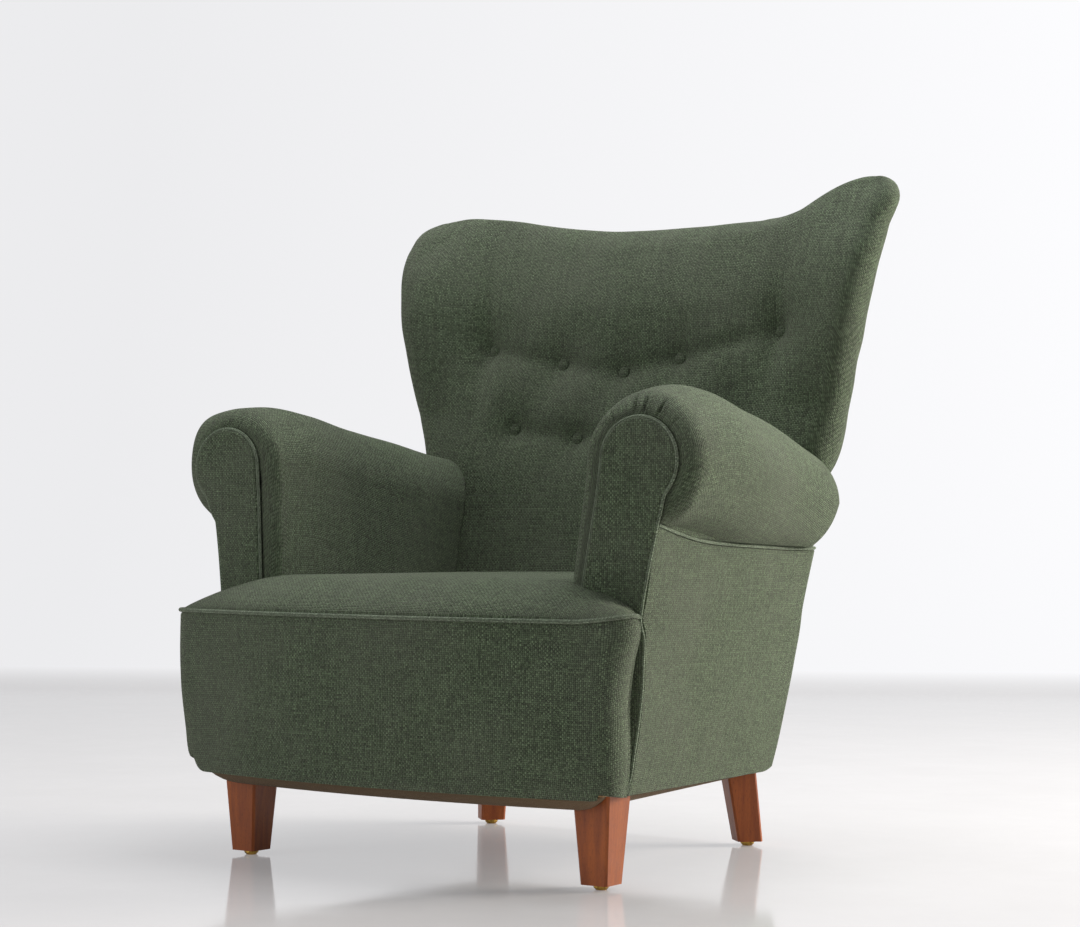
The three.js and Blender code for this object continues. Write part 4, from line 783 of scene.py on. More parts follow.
# Rings of the facing: straight at its sides, then a quarter round towards the flat front.
def facingNets(side):
    rear = arm["facingY"] - gap
    front = rear - facing["thickness"]
    rings = [(0.0, rear), (0.0, front + facing["rounding"])]
    rings += [(facing["rounding"] * (1 - math.cos(a)), front + facing["rounding"] * (1 - math.sin(a)))
              for a in np.linspace(0.2, math.pi / 2, 7)]
    outlines = [(facingOutline(facing["pipingInset"] + inset), y) for inset, y in rings]
    net = np.stack([np.stack([o[:, 0], np.full(len(o), y), o[:, 1]], axis=1) for o, y in outlines])
    net = settleStem(settleRoll(net, side), side)
    return [(net, net[:, :, [0, 2]] / 1000.0)], [(net[0, :-1], [0, 2]), (net[-1, :-1], [0, 2])]


# Side panel: from the facing's line to the rear and round the rear corner, between the hem and
# the piping under the roll. Its edges are drawn in by a small rounding, and its hem lifts by a
# quarter round towards the rear corner.
def sidePanelGrid(inset, trim, side):
    rows, flatColumns, turnColumns = 60, 80, 9
    rise = np.linspace(0, 1, rows)[:, None]
    frontEdge = arm["facingY"] + gap + trim
    guess = lerp(panels["rearHem"], float(neckZ(arm["endY"])), rise)
    radius = panels["cornerRadius"]
    cornerY = rearCorner(guess) - radius
    share = np.linspace(0, 1, flatColumns)[None, :]
    turn = np.linspace(0, math.pi / 2, turnColumns + 1)[None, 1:]
    y = np.concatenate([lerp(frontEdge, cornerY, share), cornerY + (radius - inset) * np.sin(turn)], axis=1)
    flatShare = np.broadcast_to(share, (rows, flatColumns))
    along = np.concatenate([flatShare, np.ones((rows, turnColumns))], axis=1)
    cornerShare = np.clip(1 + (y - cornerY - radius) / panels["hemRun"], 0, 1)
    lift = panels["hemRound"] * (1 - np.sqrt(1 - cornerShare ** 2))
    hem = lerp(panels["frontHem"], panels["rearHem"], along) + trim + lift
    top = neckZ(y) - arm["pipingRadius"] - gap - trim
    z = lerp(hem, top, rise)
    crown = panels["crown"] * np.sin(math.pi * rise) * np.sin(math.pi * np.clip(along, 0, 1))
    flat = panelX(y, z) - inset + (crown if inset <= panels["edgeRound"] else 0)
    turned = np.concatenate([0 * flatShare, np.broadcast_to(turn, (rows, turnColumns))], axis=1)
    rounded = rearX(z) - radius + (radius - inset) * np.cos(turned)
    x = np.where(np.arange(flatColumns + turnColumns)[None, :] < flatColumns, flat, rounded)
    return settleStem(np.stack([x, y, z], axis=2), side)


# Insets and trims of a small quarter round, from the panel's face to its edge.
def edgeSteps():
    radius = panels["edgeRound"]
    turns = np.linspace(math.pi / 2, 0, 6)
    return [(radius * (1 - math.sin(a)), radius * (1 - math.cos(a))) for a in turns]


def sidePanelNets(side):
    grids = [sidePanelGrid(inset, trim, side) for inset, trim in edgeSteps()]
    return stackedNets(grids + [sidePanelGrid(panels["thickness"], 0, side)])


# Outside back: from hem to crest, between the side panels and then out to the wings' rear.
def outsideBackGrid(inset, trim):
    lowRows, highRows = 40, 60
    low = np.linspace(panels["rearHem"] + trim, wingLow - 20, lowRows)
    top = cornerZ - back["crestRailInset"] - gap - trim
    height = np.concatenate([low, np.linspace(wingLow, top, highRows)])[:, None]
    bend = np.clip((height - back["buttonHeight"]) / (top - back["buttonHeight"]), 0, 1) ** 2
    bend[:lowRows] = 0
    narrow = rearX(height) - panels["cornerRadius"]
    wide = wingX(height) + back["wingRadius"] * math.cos(math.radians(67.5))
    width = np.where(height < wingLow, narrow, wide) - gap - trim
    share = np.linspace(-1, 1, 91)[None, :]
    x = share * width
    cornerShare = np.clip(1 + (np.abs(x) - width) / panels["hemRun"], 0, 1)
    rise = np.clip((height - panels["rearHem"]) / 200, 0, 1)
    lift = panels["hemRound"] * (1 - np.sqrt(1 - cornerShare ** 2)) * (1 - rise)
    z = ringHeight(x, height, bend) + lift
    crown = panels["crown"] * (1 - share ** 4) if inset <= panels["edgeRound"] else 0
    return toOutline(np.stack([x, rearY(x, z) - inset + crown, z], axis=2))


def outsideBackNets():
    grids = [outsideBackGrid(inset, trim) for inset, trim in edgeSteps()]
    return stackedNets(grids + [outsideBackGrid(panels["thickness"], 0)])


print("making the panels and facings")
outsideBack = makePiece("outsideBack", outsideBackNets())
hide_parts("outside_back")
sidePieces = []
for side, turnOver in (("left", False), ("right", True)):
    panelNets = sidePanelNets(side)
    faceNets, faceCaps = facingNets(side)
    if turnOver:
        panelNets, faceNets = mirrorNets(panelNets), mirrorNets(faceNets)
        faceCaps = mirrorCaps(faceCaps)
    panel = makePiece(f"outsideArm_{side}", panelNets)
    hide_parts(f"outside_arm_{side}")
    facingPiece = makePiece(f"armFacing_{side}", faceNets, faceCaps)
    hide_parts(f"arm_facing_{side}")
    sidePieces += [panel, facingPiece]


print("making the piping")
piping = {"radius": 2.4, "step": 1.6, "seatRadius": 3.0, "proud": 3.6, "topZ": 345}


# The cord round a facing: up the outer edge, over the scroll and down the inner edge.
def facingPipingPath(side):
    y = arm["facingY"] - piping["proud"]
    footZ = np.linspace(panels["frontHem"], piping["topZ"], 9)
    foot = np.stack([panelX(arm["facingY"], footZ) - piping["radius"] / 2, footZ], axis=1)
    angle = np.linspace(neckAngle, math.pi, 40)
    reach = scrollReach(angle)
    roundX = arm["scrollX"] + reach * np.cos(angle)
    roundZ = arm["scrollZ"] + reach * np.sin(angle)
    share = np.array([0.2, 0.4, 0.6, 0.8])
    innerX = lerp(arm["scrollX"] - arm["scrollRadius"], arm["facingInnerBottom"], share)
    innerZ = lerp(arm["scrollZ"], seat["edgeHeight"], share)
    flat = np.concatenate([foot, np.stack([roundX, roundZ], axis=1), np.stack([innerX, innerZ], axis=1)])
    path = np.stack([flat[:, 0], np.full(len(flat), y), flat[:, 1]], axis=1)
    return settleStem(settleRoll(path, side), side)


# The cord under the roll: along the neck, then round the rear corner.
def underArmPath(side):
    start = arm["facingY"] + piping["radius"]
    end = float(rearCorner(neckZ(arm["endY"]))) - panels["cornerRadius"]
    y = np.linspace(start, end, 20)
    straight = np.stack([neckX(y) - piping["radius"] / 2, y, neckZ(y)], axis=1)
    turn = np.linspace(0.3, 1.1, 4)
    arc = panels["cornerRadius"] * np.stack([np.cos(turn) - 1, np.sin(turn), 0 * turn], axis=1)
    return settleStem(np.concatenate([straight, straight[-1] + arc]), side)


# The cord along the seat's bowed edge and back beside the arms.
def seatPipingPath():
    x, y = seatPlan(0.0, 0.0, 0.0, False)
    plan = np.stack([x, y], axis=2)
    rim = np.concatenate([plan[blockRows - 1:0:-1, 0], plan[0], plan[1:blockRows, -1]])
    return np.concatenate([rim, edgeZ(rim[:, :1])], axis=1)


net, caps = tubeNet(smoothPath(seatPipingPath(), piping["step"]), piping["seatRadius"], [0, 0, 1])
seatPiping = makePiece("seatPiping", [net], caps, sharp=70)
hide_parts("seat_piping")
pipingPieces = [seatPiping]
for kind, node, pathOf, normal in (("facingPiping", "facing_piping", facingPipingPath, [0, 1, 0]),
                                   ("underArmPiping", "under_arm_piping", underArmPath, [1, 0, 0])):
    for side in ("left", "right"):
        net, ends = tubeNet(smoothPath(pathOf(side), piping["step"]), piping["radius"], normal)
        nets = [net]
        if side == "right":
            nets, ends = mirrorNets(nets), mirrorCaps(ends)
        piece = makePiece(f"{kind}_{side}", nets, ends, sharp=70)
        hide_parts(f"{node}_{side}")
        pipingPieces.append(piece)

print("making the buttons")
button = {"radius": 9.5, "thickness": 5, "sides": 48, "rim": [(0.97, -1.2), (0.8, -2.0)]}


# A covered button: a low dome turned about its middle, with its edge rolled under, facing
# along the back's rake.
def buttonNet(place):
    turn = np.linspace(0, 2 * math.pi, button["sides"] + 1)[None, :]
    dome = np.linspace(0, math.pi / 2, 12)
    rimShare, rimOut = np.array(button["rim"]).T
    radius = np.concatenate([button["radius"] * np.sin(dome), button["radius"] * rimShare])[:, None]
    out = np.concatenate([button["thickness"] * np.cos(dome) ** 0.7, rimOut])[:, None]
    flatX, flatZ = radius * np.cos(turn), radius * np.sin(turn)
    tilt = math.atan(back["rake"])
    seatY = float(frontY(np.array(place[0]), np.array(place[1])))
    y = seatY - out * math.cos(tilt) + flatZ * math.sin(tilt)
    z = place[1] + out * math.sin(tilt) + flatZ * math.cos(tilt)
    net = np.stack([place[0] + flatX, y, z], axis=2)
    return [(net, np.stack([flatX, flatZ], axis=2) / 1000.0)], [(net[-1, :-1], [0, 2])]


buttonPieces = []
for number, place in enumerate(back["buttons"], 1):
    nets, caps = buttonNet(place)
    piece = makePiece(f"coverButton_{number}", nets, caps, sharp=80)
    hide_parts(f"back_button_{number}")
    buttonPieces.append(piece)

# Hessian under the seat, tacked to the rails: it sags a little between them. The legs are their
# middle's width, depth, section and turn.
dust = {
    "inset": 13, "thickness": 1.2, "sag": 17.0, "ease": 34.0, "legClearance": 1.2, "underRail": 2.4,
    "legs": [(289.74, 0, 56, 0), (214.74, 488, 45, math.pi / 4)],
}


# One sheet between the rails, as wide as the side panels leave it: its sag eases in from the edge
# by a quadratic.
def dustNets():
    railBottom = np.array(panels["railBottom"])
    rearEnd = float(rearCorner(railBottom)) - panels["cornerRadius"]
    share = np.linspace(0, 1, 81)[:, None]
    column = np.linspace(-1, 1, 81)[None, :]
    wide = float(panelX(np.array(arm["facingY"]), railBottom)) - dust["inset"] - gap
    narrow = float(panelX(np.array(rearEnd), railBottom)) - dust["inset"] - gap
    frontEdge = bowY(column * wide) + seat["borderThickness"] + gap
    y = lerp(frontEdge, rearEnd, share)
    along = np.clip((y - arm["facingY"]) / (rearEnd - arm["facingY"]), 0, 1)
    x = column * lerp(wide, narrow, along)
    edge = np.minimum(np.minimum(y - frontEdge, rearEnd - y), (1 - np.abs(column)) * wide)
    sag = dust["sag"] * (1 - (1 - np.clip(edge / dust["ease"], 0, 1)) ** 2)
    upper = np.stack([x, y, panels["railBottom"] - dust["underRail"] - gap - sag], axis=2)
    return stackedNets([upper, upper - [0, 0, dust["thickness"]]])


# A square post round a leg's top, turned in plan, to cut the hessian by.
def legHole(x, y, width, turn):
    corner = np.array([[-1, -1], [1, -1], [1, 1], [-1, 1], [-1, -1]]) * width / 2
    px = x + corner[:, 0] * math.cos(turn) - corner[:, 1] * math.sin(turn)
    py = y + corner[:, 0] * math.sin(turn) + corner[:, 1] * math.cos(turn)
    net = np.stack([np.stack([px, py, np.full(5, z)], axis=1) for z in (60.0, 160.0)])
    return [net], [(net[0, :-1], [0, 1]), (net[1, :-1], [0, 1])]


print("making the dust cover")
dustCover = makePiece("dustCover", dustNets())
for legX, legY, width, turn in dust["legs"]:
    for sign in (1, -1):
        nets, caps = legHole(sign * legX, legY, width + 2 * dust["legClearance"], sign * turn)
        carve(dustCover, makeMesh("legHole", nets, caps))
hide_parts("dust_cover")

# The camera at the photograph's place, in metres and degrees
camera = {"place": (1.930, -2.8725, 0.450), "yaw": 33.61, "pitch": 1.69, "roll": 0.34, "lens": 80.57}


def aimCamera():
    yaw, pitch, roll = [math.radians(camera[k]) for k in ("yaw", "pitch", "roll")]
    ahead = np.array([-math.sin(yaw) * math.cos(pitch), math.cos(yaw) * math.cos(pitch), math.sin(pitch)])
    right = np.array([math.cos(yaw), math.sin(yaw), 0.0])
    up = np.cross(right, ahead)
    turned = np.eye(4)
    turned[:3, 0] = math.cos(roll) * right + math.sin(roll) * up
    turned[:3, 1] = -math.sin(roll) * right + math.cos(roll) * up
    turned[:3, 2] = -ahead
    turned[:3, 3] = camera["place"]
    lens = bpy.data.cameras.new("photoCamera")
    lens.lens, lens.sensor_width, lens.sensor_fit = camera["lens"], 36.0, "HORIZONTAL"
    holder = bpy.data.objects.new("photoCamera", lens)
    holder.matrix_world = Matrix(turned.tolist())
    scene.collection.objects.link(holder)
    scene.camera = holder


aimCamera()
scene.view_settings.view_transform = "Standard"


def linear(hexColour):
    parts = [int(hexColour[i:i + 2], 16) / 255 for i in (1, 3, 5)]
    return [p / 12.92 if p <= 0.04045 else ((p + 0.055) / 1.055) ** 2.4 for p in parts] + [1.0]


# One node with its settings, by property or socket name, and its links by socket. A link comes
# from a socket, or from a node's first output.
def addNode(tree, kind, settings=None, links=None):
    node = tree.nodes.new("ShaderNode" + kind)
    for key, value in (settings or {}).items():
        if isinstance(key, str) and hasattr(node, key) and key not in node.inputs:
            setattr(node, key, value)
    for key, value in (settings or {}).items():
        if isinstance(key, int) or key in node.inputs:
            node.inputs[key].default_value = value
    for key, source in (links or {}).items():
        socket = source if isinstance(source, bpy.types.NodeSocket) else source.outputs[0]
        tree.links.new(socket, node.inputs[key])
    return node


# An empty material with its node tree and the object's coordinates.
def newMaterial(name):
    material = bpy.data.materials.new(name)
    material.use_nodes = True
    tree = material.node_tree
    tree.nodes.clear()
    return material, tree, addNode(tree, "TexCoord").outputs["Object"]


# Two sets of threads at right angles, from the cloth lengths on the mesh: how full each thread
# stands (the absolute sine across it), its number, and which set lies on top, changing like a
# chequerboard. A little noise moves the threads about.
def weaveThreads(tree, place, pitch, uneven):
    uv = addNode(tree, "UVMap", {"uv_map": "weave"})
    drift = addNode(tree, "TexNoise", {"Scale": 130.0, "Detail": 2.0}, {"Vector": place}).outputs["Color"]
    centred = addNode(tree, "VectorMath", {"operation": "SUBTRACT", 1: (0.5, 0.5, 0.5)}, {0: drift})
    small = addNode(tree, "VectorMath", {"operation": "SCALE", "Scale": uneven}, {0: centred})
    counted = addNode(tree, "VectorMath", {"operation": "SCALE", "Scale": 1.0 / pitch}, {0: uv})
    threads = addNode(tree, "VectorMath", {"operation": "ADD"}, {0: counted, 1: small})
    split = addNode(tree, "SeparateXYZ", {}, {"Vector": threads})
    bumps, numbers = [], []
    for axis in ("X", "Y"):
        wave = addNode(tree, "Math", {"operation": "MULTIPLY", 1: math.pi}, {0: split.outputs[axis]})
        sine = addNode(tree, "Math", {"operation": "SINE"}, {0: wave})
        bumps.append(addNode(tree, "Math", {"operation": "ABSOLUTE"}, {0: sine}))
        numbers.append(addNode(tree, "Math", {"operation": "FLOOR"}, {0: split.outputs[axis]}))
    both = addNode(tree, "Math", {"operation": "ADD"}, {0: numbers[0], 1: numbers[1]})
    over = addNode(tree, "Math", {"operation": "FLOORED_MODULO", 1: 2.0}, {0: both})
    return split, bumps, numbers, over


# Heavy plain-woven wool, dyed olive green: thick round yarns give a dry, matt face with a light
# bloom at grazing angles. The yarns are 2.3 mm apart, drawn at 2.7 mm because finer ones gave
# stripes in the render, and uneven in thickness and tone, from one crossing to the next and
# along each yarn. The sheet wears paler in patches. The hollow colour, laid where the yarns
# dip between crossings, is painted shade.
wool = {
    "pitch": 0.0027, "warp": "#67785b", "weft": "#55664b", "hollow": "#131c10", "worn": "#7b8170",
    "uneven": 0.9, "grain": (0.55, 1.45), "slub": (0.66, 1.34), "wornShare": 0.4,
    "bump": 1.0, "relief": 0.0014, "roughness": 0.92, "sheen": 0.35, "sheenTint": "#d6d3c6",
}
# The cord's cover, of the same wool cut on the bias and worn paler by hands, and drawn paler
# still as a painted highlight for the light the cords catch from above; its hollow colour is painted shade.
pipingCoverWornAndPaintedHighlight = {**wool, "pitch": 0.0022, "warp": "#8fa086", "weft": "#798b70", "hollow": "#374330",
               "worn": "#9ca48f"}


def woolCover(name, look):
    material, tree, place = newMaterial(name)
    split, bumps, numbers, over = weaveThreads(tree, place, look["pitch"], look["uneven"])
    crowns, slubs = [], []
    for axis, across, along in (("Y", 0, 1), ("X", 1, 0)):
        end = addNode(tree, "Math", {"operation": "MULTIPLY_ADD", 1: 0.45, 2: 0.55}, {0: bumps[along]})
        crowns.append(addNode(tree, "Math", {"operation": "MULTIPLY"}, {0: bumps[across], 1: end}))
        far = addNode(tree, "Math", {"operation": "MULTIPLY", 1: 0.035}, {0: split.outputs[axis]})
        line = addNode(tree, "CombineXYZ", {}, {"X": numbers[across], "Y": far})
        slubs.append(addNode(tree, "TexNoise", {"Scale": 0.73, "Detail": 2.0, "Roughness": 0.6},
                             {"Vector": line}))
    height = addNode(tree, "Mix", {"data_type": "FLOAT"}, {0: over, 2: crowns[0], 3: crowns[1]})
    slub = addNode(tree, "Mix", {"data_type": "FLOAT"}, {0: over, 2: slubs[0], 3: slubs[1]})
    crossing = addNode(tree, "CombineXYZ", {}, {"X": numbers[0], "Y": numbers[1]})
    chance = addNode(tree, "TexWhiteNoise", {"noise_dimensions": "2D"}, {"Vector": crossing})
    low, high = look["grain"]
    grain = addNode(tree, "MapRange", {"To Min": low, "To Max": high}, {"Value": chance})
    low, high = look["slub"]
    shade = addNode(tree, "MapRange", {"From Min": 0.3, "From Max": 0.7, "To Min": low, "To Max": high},
                    {"Value": slub})
    share = addNode(tree, "Math", {"operation": "MULTIPLY"}, {0: shade, 1: grain})
    yarn = addNode(tree, "Mix", {"data_type": "RGBA", 6: linear(look["warp"]), 7: linear(look["weft"])},
                   {0: over})
    shaded = addNode(tree, "VectorMath", {"operation": "SCALE"}, {0: yarn.outputs[2], "Scale": share})
    patches = addNode(tree, "TexNoise", {"Scale": 5.0, "Detail": 5.0, "Roughness": 0.65}, {"Vector": place})
    faded = addNode(tree, "MapRange", {"From Min": 0.42, "From Max": 0.75, "To Max": look["wornShare"]},
                    {"Value": patches})
    worn = addNode(tree, "Mix", {"data_type": "RGBA", 7: linear(look["worn"])}, {0: faded, 6: shaded})
    # Painted shade: the colour goes to the hollow colour where the yarns dip between crossings.
    paintedDipShade = addNode(tree, "MapRange", {"From Min": 0.0, "From Max": 0.55}, {"Value": height})
    colour = addNode(tree, "Mix", {"data_type": "RGBA", 6: linear(look["hollow"])},
                     {0: paintedDipShade, 7: worn.outputs[2]})
    fuzz = addNode(tree, "TexNoise", {"Scale": 2600.0, "Detail": 2.0}, {"Vector": place})
    rough = addNode(tree, "Math", {"operation": "MULTIPLY_ADD", 1: 0.35}, {0: fuzz, 2: height})
    bump = addNode(tree, "Bump", {"Strength": look["bump"], "Distance": look["relief"]}, {"Height": rough})
    shader = addNode(tree, "BsdfPrincipled", {
        "Roughness": look["roughness"], "Specular IOR Level": 0.25, "Sheen Weight": look["sheen"],
        "Sheen Roughness": 0.5, "Sheen Tint": linear(look["sheenTint"]),
    }, {"Base Color": colour.outputs[2], "Normal": bump})
    addNode(tree, "OutputMaterial", {}, {"Surface": shader})
    return material


# Beech, planed, and on the legs rubbed with a red-brown stain under thin varnish: fine straight
# grain up the leg in bands about 10 mm wide, short dark flecks 0.7 mm by 8 mm, and a soft shine.
woods = {
    "stainedVarnishedBeech": {"light": "#b05c1e", "dark": "#8a4114", "fleck": "#4f240c",
                              "roughness": 0.5, "coat": 0.1},
    "planedBeech": {"light": "#cfa77a", "dark": "#b98d60", "fleck": "#8f6a45",
                    "roughness": 0.6, "coat": 0.0},
}


def woodFinish(name):
    look = woods[name]
    material, tree, place = newMaterial(name)
    grainMap = addNode(tree, "Mapping", {"Scale": (95.0, 95.0, 6.0)}, {"Vector": place})
    grain = addNode(tree, "TexNoise", {"Scale": 1.0, "Detail": 6.0, "Roughness": 0.6, "Distortion": 0.6},
                    {"Vector": grainMap})
    fleckMap = addNode(tree, "Mapping", {"Scale": (1500.0, 1500.0, 130.0)}, {"Vector": place})
    flecks = addNode(tree, "TexNoise", {"Scale": 1.0, "Detail": 1.0}, {"Vector": fleckMap})
    bands = addNode(tree, "MapRange", {"From Min": 0.3, "From Max": 0.7}, {"Value": grain})
    base = addNode(tree, "Mix", {"data_type": "RGBA", 6: linear(look["dark"]), 7: linear(look["light"])},
                   {0: bands})
    fleckShare = addNode(tree, "MapRange", {"From Min": 0.6, "From Max": 0.72, "To Max": 0.55},
                         {"Value": flecks})
    colour = addNode(tree, "Mix", {"data_type": "RGBA", 7: linear(look["fleck"])},
                     {0: fleckShare, 6: base.outputs[2]})
    bump = addNode(tree, "Bump", {"Strength": 0.25, "Distance": 0.0003}, {"Height": flecks})
    shader = addNode(tree, "BsdfPrincipled", {
        "Roughness": look["roughness"], "Coat Weight": look["coat"], "Coat Roughness": 0.25,
    }, {"Base Color": colour.outputs[2], "Normal": bump})
    addNode(tree, "OutputMaterial", {}, {"Surface": shader})
    return material


# Jute: coarse golden-brown bast fibre, plain woven, matt and hairy. The hessian's threads are 1.4 mm
# apart; between them its colour goes to the dark one as painted shade, and the hairs streak it at
# random. The webbing's are 2.2 mm apart and run by the object's own place, as its mesh has no
# cloth lengths.
jutes = {
    "juteHessian": {"pitch": 0.0014, "light": "#b09a7c", "dark": "#5d4b35", "onCloth": True},
    "juteWebbing": {"pitch": 0.0022, "light": "#b79a6c", "dark": "#6f5834", "onCloth": False},
}


def juteCloth(name):
    look = jutes[name]
    material, tree, place = newMaterial(name)
    if look["onCloth"]:
        bumps = weaveThreads(tree, place, look["pitch"], 0.5)[1]
        height = addNode(tree, "Math", {"operation": "MULTIPLY"}, {0: bumps[0], 1: bumps[1]})
    else:
        height = addNode(tree, "TexChecker", {"Scale": 1.0 / look["pitch"]}, {"Vector": place}).outputs["Fac"]
    hairs = addNode(tree, "TexNoise", {"Scale": 700.0, "Detail": 4.0}, {"Vector": place})
    mixed = addNode(tree, "Math", {"operation": "MULTIPLY"}, {0: hairs, 1: height})
    # On the hessian the dark colour in the hollows between threads is painted shade; on the webbing it fills
    # alternate squares.
    colour = addNode(tree, "Mix", {"data_type": "RGBA", 6: linear(look["dark"]), 7: linear(look["light"])},
                     {0: mixed})
    bump = addNode(tree, "Bump", {"Strength": 0.7, "Distance": 0.0005}, {"Height": mixed})
    shader = addNode(tree, "BsdfPrincipled", {"Roughness": 0.95},
                     {"Base Color": colour.outputs[2], "Normal": bump})
    addNode(tree, "OutputMaterial", {}, {"Surface": shader})
    return material


# Metal, drawn or pressed: fine scratches scatter its shine, and it has dulled in patches.
metals = {
    "pressedBrass": {"bright": "#c09a4a", "tarnish": "#7b5c2b", "roughness": 0.35},
    "drawnSpringSteel": {"bright": "#8b8d90", "tarnish": "#5c544c", "roughness": 0.4},
}


def metalFinish(name):
    look = metals[name]
    material, tree, place = newMaterial(name)
    patches = addNode(tree, "TexNoise", {"Scale": 180.0, "Detail": 5.0}, {"Vector": place})
    share = addNode(tree, "MapRange", {"From Min": 0.4, "From Max": 0.75}, {"Value": patches})
    colours = {6: linear(look["bright"]), 7: linear(look["tarnish"])}
    mixed = addNode(tree, "Mix", {"data_type": "RGBA", **colours}, {0: share})
    rough = addNode(tree, "MapRange", {"To Min": 0.7 * look["roughness"], "To Max": 1.5 * look["roughness"]},
                    {"Value": patches})
    shader = addNode(tree, "BsdfPrincipled", {"Metallic": 1.0},
                     {"Base Color": mixed.outputs[2], "Roughness": rough})
    addNode(tree, "OutputMaterial", {}, {"Surface": shader})
    return material


print("making the materials")
coverWool = woolCover("plainWovenWool", wool)
# Besides their wear, the cords' wool is drawn paler as a painted highlight.
pipingWoolWornAndPaintedHighlight = woolCover("wornPipingWoolWithPaintedHighlight", pipingCoverWornAndPaintedHighlight)
stainedBeech = woodFinish("stainedVarnishedBeech")
rawBeech = woodFinish("planedBeech")
hessian = juteCloth("juteHessian")
webCloth = juteCloth("juteWebbing")
brassGlide = metalFinish("pressedBrass")
springSteel = metalFinish("drawnSpringSteel")


def dress(piece, material):
    piece.data.materials.clear()
    piece.data.materials.append(material)


for piece in [insideBack, seatCushion, outsideBack] + armPads + sidePieces + buttonPieces:
    dress(piece, coverWool)
for piece in pipingPieces:
    dress(piece, pipingWoolWornAndPaintedHighlight)
dress(dustCover, hessian)
nodeFinishes = {"leg": stainedBeech, "glide": brassGlide, "spring": springSteel, "webbing": webCloth}
for name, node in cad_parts.items():
    finish = next((nodeFinishes[word] for word in nodeFinishes if word in name), rawBeech)
    node.data.materials.clear()
    node.data.materials.append(finish)

print("making the set")
studio = {
    "floorNear": -7.0, "wallFar": 9.2, "halfWidth": 10.0, "sweep": 2.5, "wallHeight": 7.0,
    "floorDark": "#cac6c3", "floorPale": "#dcdad9", "wallLeft": "#ececee", "wallRight": "#fdfdff",
    "polish": (0.05, 0.13), "floorGlow": 0.22,
}


# The camera's level directions: ahead, and to its right.
def cameraAxes():
    yaw = math.radians(camera["yaw"])
    return np.array([-math.sin(yaw), math.cos(yaw), 0.0]), np.array([math.cos(yaw), math.sin(yaw), 0.0])


# The set: a floor that runs away from the camera and turns up into a wall by a quarter circle.
# The profile is carried sideways along a straight line.
def makeSet():
    ahead, right = cameraAxes()
    start = np.array([camera["place"][0], camera["place"][1], 0.0])
    turn = np.linspace(0, math.pi / 2, 24)
    radius = studio["sweep"]
    curve = studio["wallFar"] - radius + radius * np.sin(turn)
    away = np.concatenate([[studio["floorNear"]], curve, [studio["wallFar"]]])[:, None, None]
    height = np.concatenate([[0.0], radius - radius * np.cos(turn), [studio["wallHeight"]]])[:, None, None]
    width = np.linspace(-studio["halfWidth"], studio["halfWidth"], 15)[None, :, None]
    points = start + away * ahead + width * right + height * np.array([0, 0, 1.0])
    rows, cols = points.shape[:2]
    cell = np.arange(rows * cols).reshape(rows, cols)
    quads = np.stack([cell[:-1, :-1], cell[:-1, 1:], cell[1:, 1:], cell[1:, :-1]], axis=-1)
    mesh = bpy.data.meshes.new("studioSweep")
    mesh.from_pydata(points.reshape(-1, 3).tolist(), [], quads.reshape(-1, 4).tolist())
    mesh.shade_smooth()
    sweep = bpy.data.objects.new("studioSweep", mesh)
    scene.collection.objects.link(sweep)
    return sweep
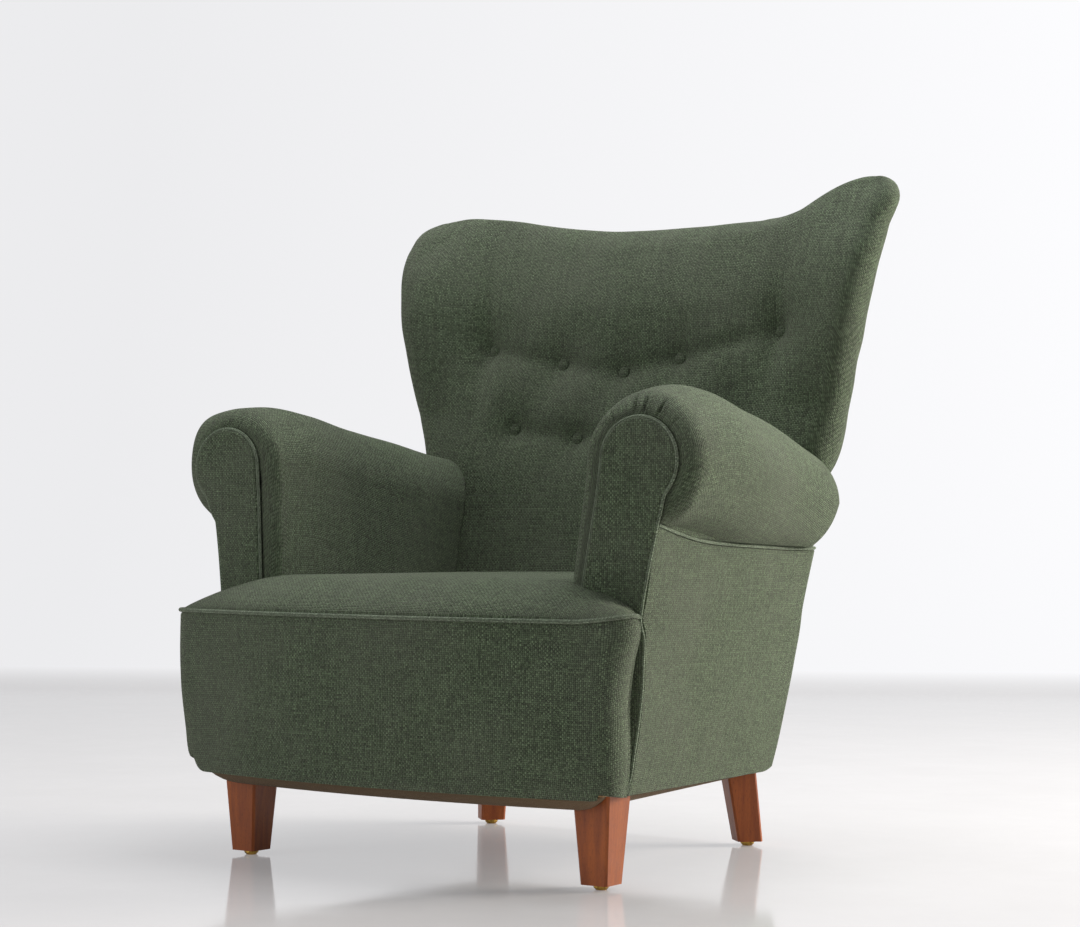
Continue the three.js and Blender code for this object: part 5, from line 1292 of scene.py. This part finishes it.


# Painted screed: pale, slightly waxed, so legs mirror softly in it. The wall, and a little of the
# floor, shines by itself to the camera and in reflections alone, and that glow grows paler towards
# the camera's right: painted light, as if lamps lit that side of the wall.
def screedFinish():
    material, tree, place = newMaterial("waxedPaleScreed")
    split = addNode(tree, "SeparateXYZ", {}, {"Vector": place})
    clouds = addNode(tree, "TexNoise", {"Scale": 3.0, "Detail": 8.0, "Roughness": 0.7}, {"Vector": place})
    tints = {6: linear(studio["floorDark"]), 7: linear(studio["floorPale"])}
    tint = addNode(tree, "Mix", {"data_type": "RGBA", **tints}, {0: clouds})
    low, high = studio["polish"]
    rough = addNode(tree, "MapRange", {"From Min": 0.35, "From Max": 0.65, "To Min": low, "To Max": high},
                    {"Value": clouds})
    floor = addNode(tree, "BsdfPrincipled", {"Specular IOR Level": 0.8},
                    {"Base Color": tint.outputs[2], "Roughness": rough})
    right = tuple(float(value) for value in cameraAxes()[1])
    sideways = addNode(tree, "VectorMath", {"operation": "DOT_PRODUCT", 1: right}, {0: place})
    across = addNode(tree, "MapRange", {"From Min": -1.5, "From Max": 2.2},
                     {"Value": sideways.outputs["Value"]})
    # Painted light: the wall's glow grows paler towards the camera's right.
    tints = {6: linear(studio["wallLeft"]), 7: linear(studio["wallRight"])}
    pale = addNode(tree, "Mix", {"data_type": "RGBA", **tints}, {0: across})
    glow = addNode(tree, "Emission", {"Strength": 1.0}, {"Color": pale.outputs[2]})
    rays = addNode(tree, "LightPath").outputs
    seen = addNode(tree, "Math", {"operation": "MAXIMUM"},
                   {0: rays["Is Camera Ray"], 1: rays["Is Glossy Ray"]})
    passed = addNode(tree, "Math", {"operation": "MAXIMUM"}, {0: seen, 1: rays["Is Transmission Ray"]})
    raised = addNode(tree, "MapRange", {"From Min": 0.0, "From Max": 0.05, "To Min": studio["floorGlow"]},
                     {"Value": split.outputs["Z"]})
    share = addNode(tree, "Math", {"operation": "MULTIPLY"}, {0: passed, 1: raised})
    mixed = addNode(tree, "MixShader", {}, {0: share, 1: floor, 2: glow})
    addNode(tree, "OutputMaterial", {}, {"Surface": mixed})
    return material


makeSet().data.materials.append(screedFinish())

# Soft lamps, in metres and watts, aimed at the chair's middle
lamps = {
    "key": {"place": (2.7, 2.25, 1.5), "size": 1.6, "power": 160.0, "colour": "#fffaf4"},
    "top": {"place": (0.2, 0.5, 3.0), "size": 1.8, "power": 70.0, "colour": "#fdfdff"},
    "front": {"place": (-1.6, -3.4, 1.3), "size": 2.4, "power": 38.0, "colour": "#fdfdff"},
}
room = {"strength": 0.19, "colour": "#fbfbff", "aim": (0.0, 0.0, 0.5)}


def addLamp(name, values):
    light = bpy.data.lights.new(name, "AREA")
    light.size, light.energy = values["size"], values["power"]
    light.color = linear(values["colour"])[:3]
    lamp = bpy.data.objects.new(name, light)
    lamp.location = values["place"]
    ahead = Vector(room["aim"]) - Vector(values["place"])
    lamp.rotation_euler = ahead.to_track_quat("-Z", "Y").to_euler()
    scene.collection.objects.link(lamp)


for name, values in lamps.items():
    addLamp(name, values)
world = bpy.data.worlds.new("softRoom")
scene.world = world
world.use_nodes = True
world.node_tree.nodes.clear()
sky = {"Color": linear(room["colour"]), "Strength": room["strength"]}
addNode(world.node_tree, "OutputWorld", {}, {"Surface": addNode(world.node_tree, "Background", sky)})
